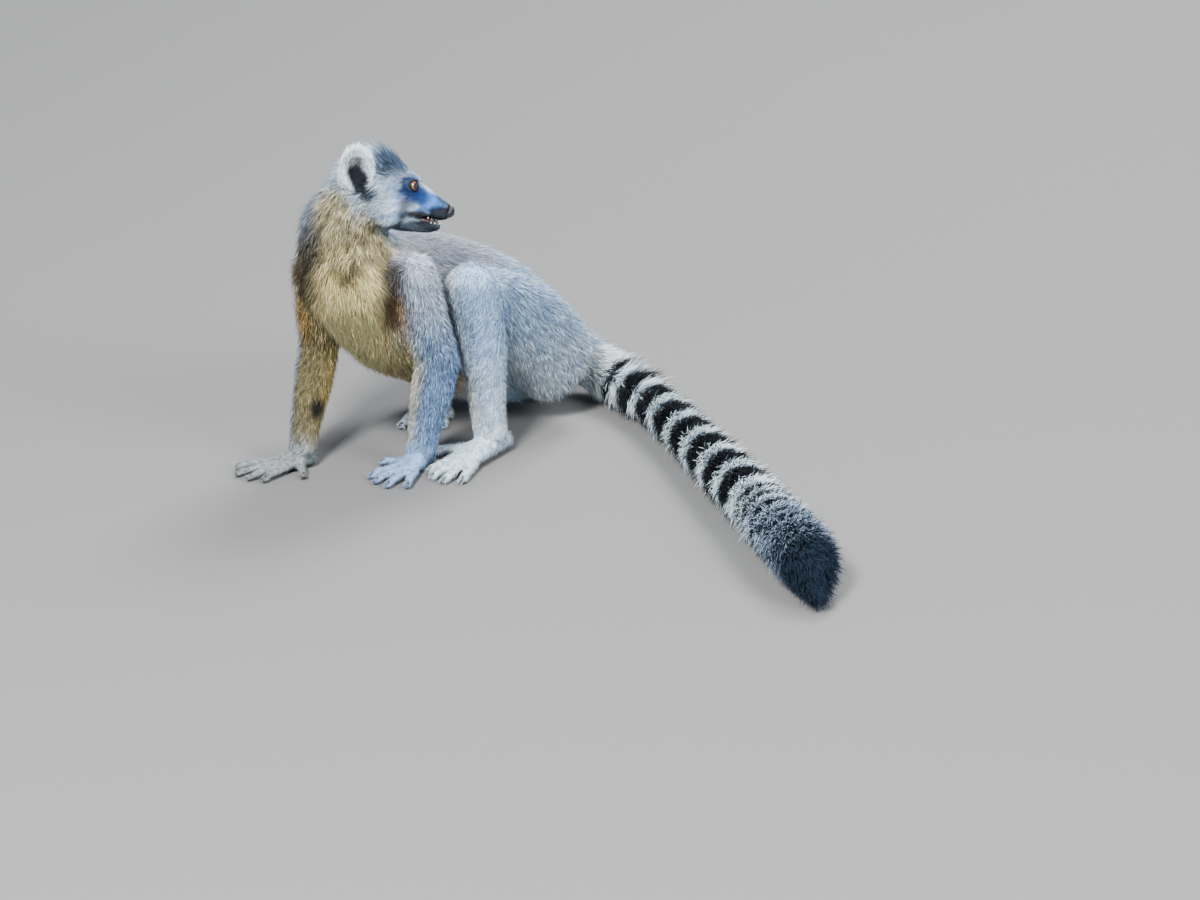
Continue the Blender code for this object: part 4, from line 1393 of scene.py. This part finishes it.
# The teeth of one side: place forward, out and up on the head, length and radius in mm,
# and how far each leans, in degrees, with 180 for straight down.
TEETH = [
    (19.0, 6.2, -25.2, 1.5, 0.6, 180), (22.0, 5.8, -25.0, 1.7, 0.6, 180),
    (26.0, 5.2, -24.6, 3.0, 0.7, 175), (30.5, 1.6, -24.0, 1.8, 0.5, 170),
    (22.0, 4.7, -30.2, 1.7, 0.55, 0), (25.0, 4.0, -30.2, 1.9, 0.6, 10),
    (28.5, 0.5, -30.2, 2.3, 0.4, 38), (28.5, 1.35, -30.2, 2.3, 0.4, 38),
    (28.5, 2.2, -30.2, 2.3, 0.4, 38),
]
TONGUE_SIZES = (12, 5.2, 1.9)  # half the length, width and height, in mm
TONGUE_AT = (15, 0, -28.4)


class LEMUR_OT_mouth(bpy.types.Operator):
    """Adds the tongue and the few teeth that show between the lips"""
    bl_idname = "lemur.mouth"
    bl_label = "Mouth"

    def execute(self, context):
        turn = Matrix((AHEAD, LEFT, ABOVE)).transposed().to_4x4()
        to_world = Matrix.Translation(HEAD_AT) @ turn
        tongue = sphere(32, 20)
        tongue.name = tongue.data.name = "tongue"
        points = places(tongue.data) * np.array(TONGUE_SIZES)
        points[:, 2] -= 0.5 * np.exp(-points[:, 1] ** 2) * (points[:, 2] > 0)
        set_places(tongue.data, (points + np.array(TONGUE_AT)) * MM)
        tongue.data.transform(to_world)
        smooth(tongue)
        # The tongue's colour is its pink darkened with painted shade of the inside of the
        # mouth.
        finish_piece(tongue, (),
                     horn_material("tongue", (0.06, 0.025, 0.026), 0.35, 0.4))
        teeth = []
        for forward, out, up, length, radius, tilt in TEETH:
            for _, way in SIDES:
                tooth = add_primitive(
                    bpy.ops.mesh.primitive_cone_add, vertices=12, radius1=radius * MM,
                    radius2=radius * 0.15 * MM, depth=length * MM)
                place = Vector((forward, out * way, up)) * MM
                lean = Matrix.Rotation(math.radians(tilt), 4, "Y")
                grow = Matrix.Translation((0, 0, length / 2 * MM))
                tooth.data.transform(to_world @ Matrix.Translation(place) @ lean @ grow)
                smooth(tooth)
                teeth.append(tooth)
        finish_piece(join_pieces("teeth", teeth), (),
                     horn_material("tooth", (0.82, 0.80, 0.72), 0.3, 0.3))
        return {"FINISHED"}


# The whiskers of one side: where they start forward and up on the head, their length in
# mm, and how they rise. They grow in three rows on the lip, with a few over the eye.
WHISKERS = [(22 - 3.2 * k, -17 - 2.3 * row, 26 - 3 * k, -0.25)
            for row in range(3) for k in range(4)]
WHISKERS += [(-2 + 2 * k, 9, 16, 0.7) for k in range(3)]
WHISKER_RINGS, WHISKER_CORNERS = 6, 4
WHISKER_HALF = 0.16  # half its thickness at the root, in mm


def bristle(root, way, length):
    """The points of one bristle, ring by ring, sagging towards its tip."""
    sag = -ABOVE * 0.25 - AHEAD * 0.35
    across = way.cross(ABOVE).normalized()
    over = across.cross(way)
    points = []
    for ring in range(WHISKER_RINGS):
        share = ring / (WHISKER_RINGS - 1)
        middle = root + (way * share + sag * share ** 2) * length * MM
        thick = WHISKER_HALF * MM * (1 - 0.9 * share)
        for corner in range(WHISKER_CORNERS):
            angle = math.radians(360 / WHISKER_CORNERS * corner)
            points.append(middle + across * math.cos(angle) * thick
                          + over * math.sin(angle) * thick)
    return points


def bristle_faces(first):
    """The faces of one bristle whose points start at first."""
    corners = WHISKER_CORNERS
    last = first + (WHISKER_RINGS - 1) * corners
    faces = []
    for start in range(first, last, corners):
        for corner in range(corners):
            a, b = start + corner, start + (corner + 1) % corners
            faces.append((a, b, b + corners, a + corners))
    faces.append(tuple(range(first + corners - 1, first - 1, -1)))
    faces.append(tuple(range(last, last + corners)))
    return faces


class LEMUR_OT_whiskers(bpy.types.Operator):
    """Sets thin, bent bristles along the upper lips and over the eyes"""
    bl_idname = "lemur.whiskers"
    bl_label = "Whiskers"

    def execute(self, context):
        skin = bpy.data.objects["skin"]
        draw = np.random.default_rng(SEED + 50)
        points, faces = [], []
        for forward, up, length, rise in WHISKERS:
            for _, side in SIDES:
                start = from_head(forward, side * 40, up + draw.normal(0, 0.3))
                hit, root, _, _ = skin.ray_cast(start, LEFT * -side)
                if hit:
                    way = (LEFT * side * 0.75 - AHEAD * 0.55 + ABOVE * rise).normalized()
                    faces += bristle_faces(len(points))
                    points += bristle(root, way, length)
        whiskers = make_mesh("whiskers", points, faces)
        smooth(whiskers)
        finish_piece(whiskers, (),
                     horn_material("whisker", (0.03, 0.03, 0.035), 0.4))
        return {"FINISHED"}


# ---------------------------------------------------------------- stage

FLOOR_COLOUR = (0.15, 0.148, 0.146)
STUDIO_COLOUR, STUDIO_STRENGTH = (0.70, 0.84, 1.0), 0.62
# Each lamp: where it is and how wide, in m, and its power in W.
LAMPS = {
    "key": ((-1.0, -2.5, 2.7), 0.7, 400),
    "fill": ((2.4, -1.8, 2.0), 1.6, 150),
    "rim": ((1.0, 2.2, 2.6), 1.2, 210),
}
LAMP_AIM = Vector((0, 0.1, 0.12))
CAMERA_AIM = Vector((0.0621, 0.129, -0.0075))
SENSOR_WIDTH = 36


def look(obj, way):
    """Turns a lamp or camera to look that way."""
    obj.rotation_mode = "QUATERNION"
    obj.rotation_quaternion = way.to_track_quat("-Z", "Y")


class LEMUR_OT_stage(bpy.types.Operator):
    """Adds the floor, the soft lights and the camera"""
    bl_idname = "lemur.stage"
    bl_label = "Stage"

    def execute(self, context):
        stage = context.scene.lemur_stage
        floor = add_primitive(bpy.ops.mesh.primitive_plane_add, size=stage.floor_size)
        floor.name = "floor"
        material, _, surface = new_material("floor")
        set_sockets(surface, Base_Color=(*FLOOR_COLOUR, 1), Roughness=0.9)
        floor.data.materials.append(material)
        world = bpy.data.worlds.new("studio")
        world.use_nodes = True
        glow = world.node_tree.nodes["Background"].inputs
        glow["Color"].default_value = (*STUDIO_COLOUR, 1)
        glow["Strength"].default_value = STUDIO_STRENGTH
        context.scene.world = world
        for name, (place, size, power) in LAMPS.items():
            lamp = add_primitive(bpy.ops.object.light_add, type="AREA", location=place)
            lamp.name = name
            lamp.data.size, lamp.data.energy = size, power
            look(lamp, LAMP_AIM - Vector(place))
        camera = add_primitive(bpy.ops.object.camera_add)
        height = stage.camera_height
        ahead = Vector((0, math.cos(height), -math.sin(height)))
        camera.location = CAMERA_AIM - ahead * stage.camera_distance
        look(camera, ahead)
        camera.data.lens, camera.data.sensor_width = stage.lens, SENSOR_WIDTH
        context.scene.camera = camera
        return {"FINISHED"}


class LEMUR_PT_panel(bpy.types.Panel):
    """Lists the pieces of the lemur and their settings"""
    bl_idname = "LEMUR_PT_panel"
    bl_label = "Ring-tailed lemur"
    bl_space_type = "VIEW_3D"
    bl_region_type = "UI"
    bl_category = "Lemur"

    def draw(self, context):
        for operator in OPERATORS:
            self.layout.operator(operator.bl_idname)
        for group in GROUPS:
            settings = getattr(context.scene, group)
            for name in settings.bl_rna.properties.keys():
                if name not in ("rna_type", "name"):
                    self.layout.prop(settings, name)


OPERATORS = (
    LEMUR_OT_stage, LEMUR_OT_skin, LEMUR_OT_eyes, LEMUR_OT_nose, LEMUR_OT_mouth,
    LEMUR_OT_nails, LEMUR_OT_whiskers, LEMUR_OT_coat,
)
GROUPS = {
    "lemur_colours": LemurColours, "lemur_coat": LemurCoat, "lemur_skin": LemurSkin,
    "lemur_eyes": LemurEyes, "lemur_stage": LemurStage,
}


def register():
    for group, made in GROUPS.items():
        bpy.utils.register_class(made)
        setattr(bpy.types.Scene, group, PointerProperty(type=made))
    for made in (*OPERATORS, LEMUR_PT_panel):
        bpy.utils.register_class(made)


def unregister():
    for made in (LEMUR_PT_panel, *reversed(OPERATORS)):
        bpy.utils.unregister_class(made)
    for group, made in reversed(GROUPS.items()):
        delattr(bpy.types.Scene, group)
        bpy.utils.unregister_class(made)


def main():
    register()
    bpy.ops.lemur.stage()
    bpy.ops.lemur.skin()
    bpy.ops.lemur.eyes()
    bpy.ops.lemur.nose()
    bpy.ops.lemur.mouth()
    bpy.ops.lemur.nails()
    bpy.ops.lemur.whiskers()
    bpy.ops.lemur.coat()


if __name__ == "__main__":
    main()
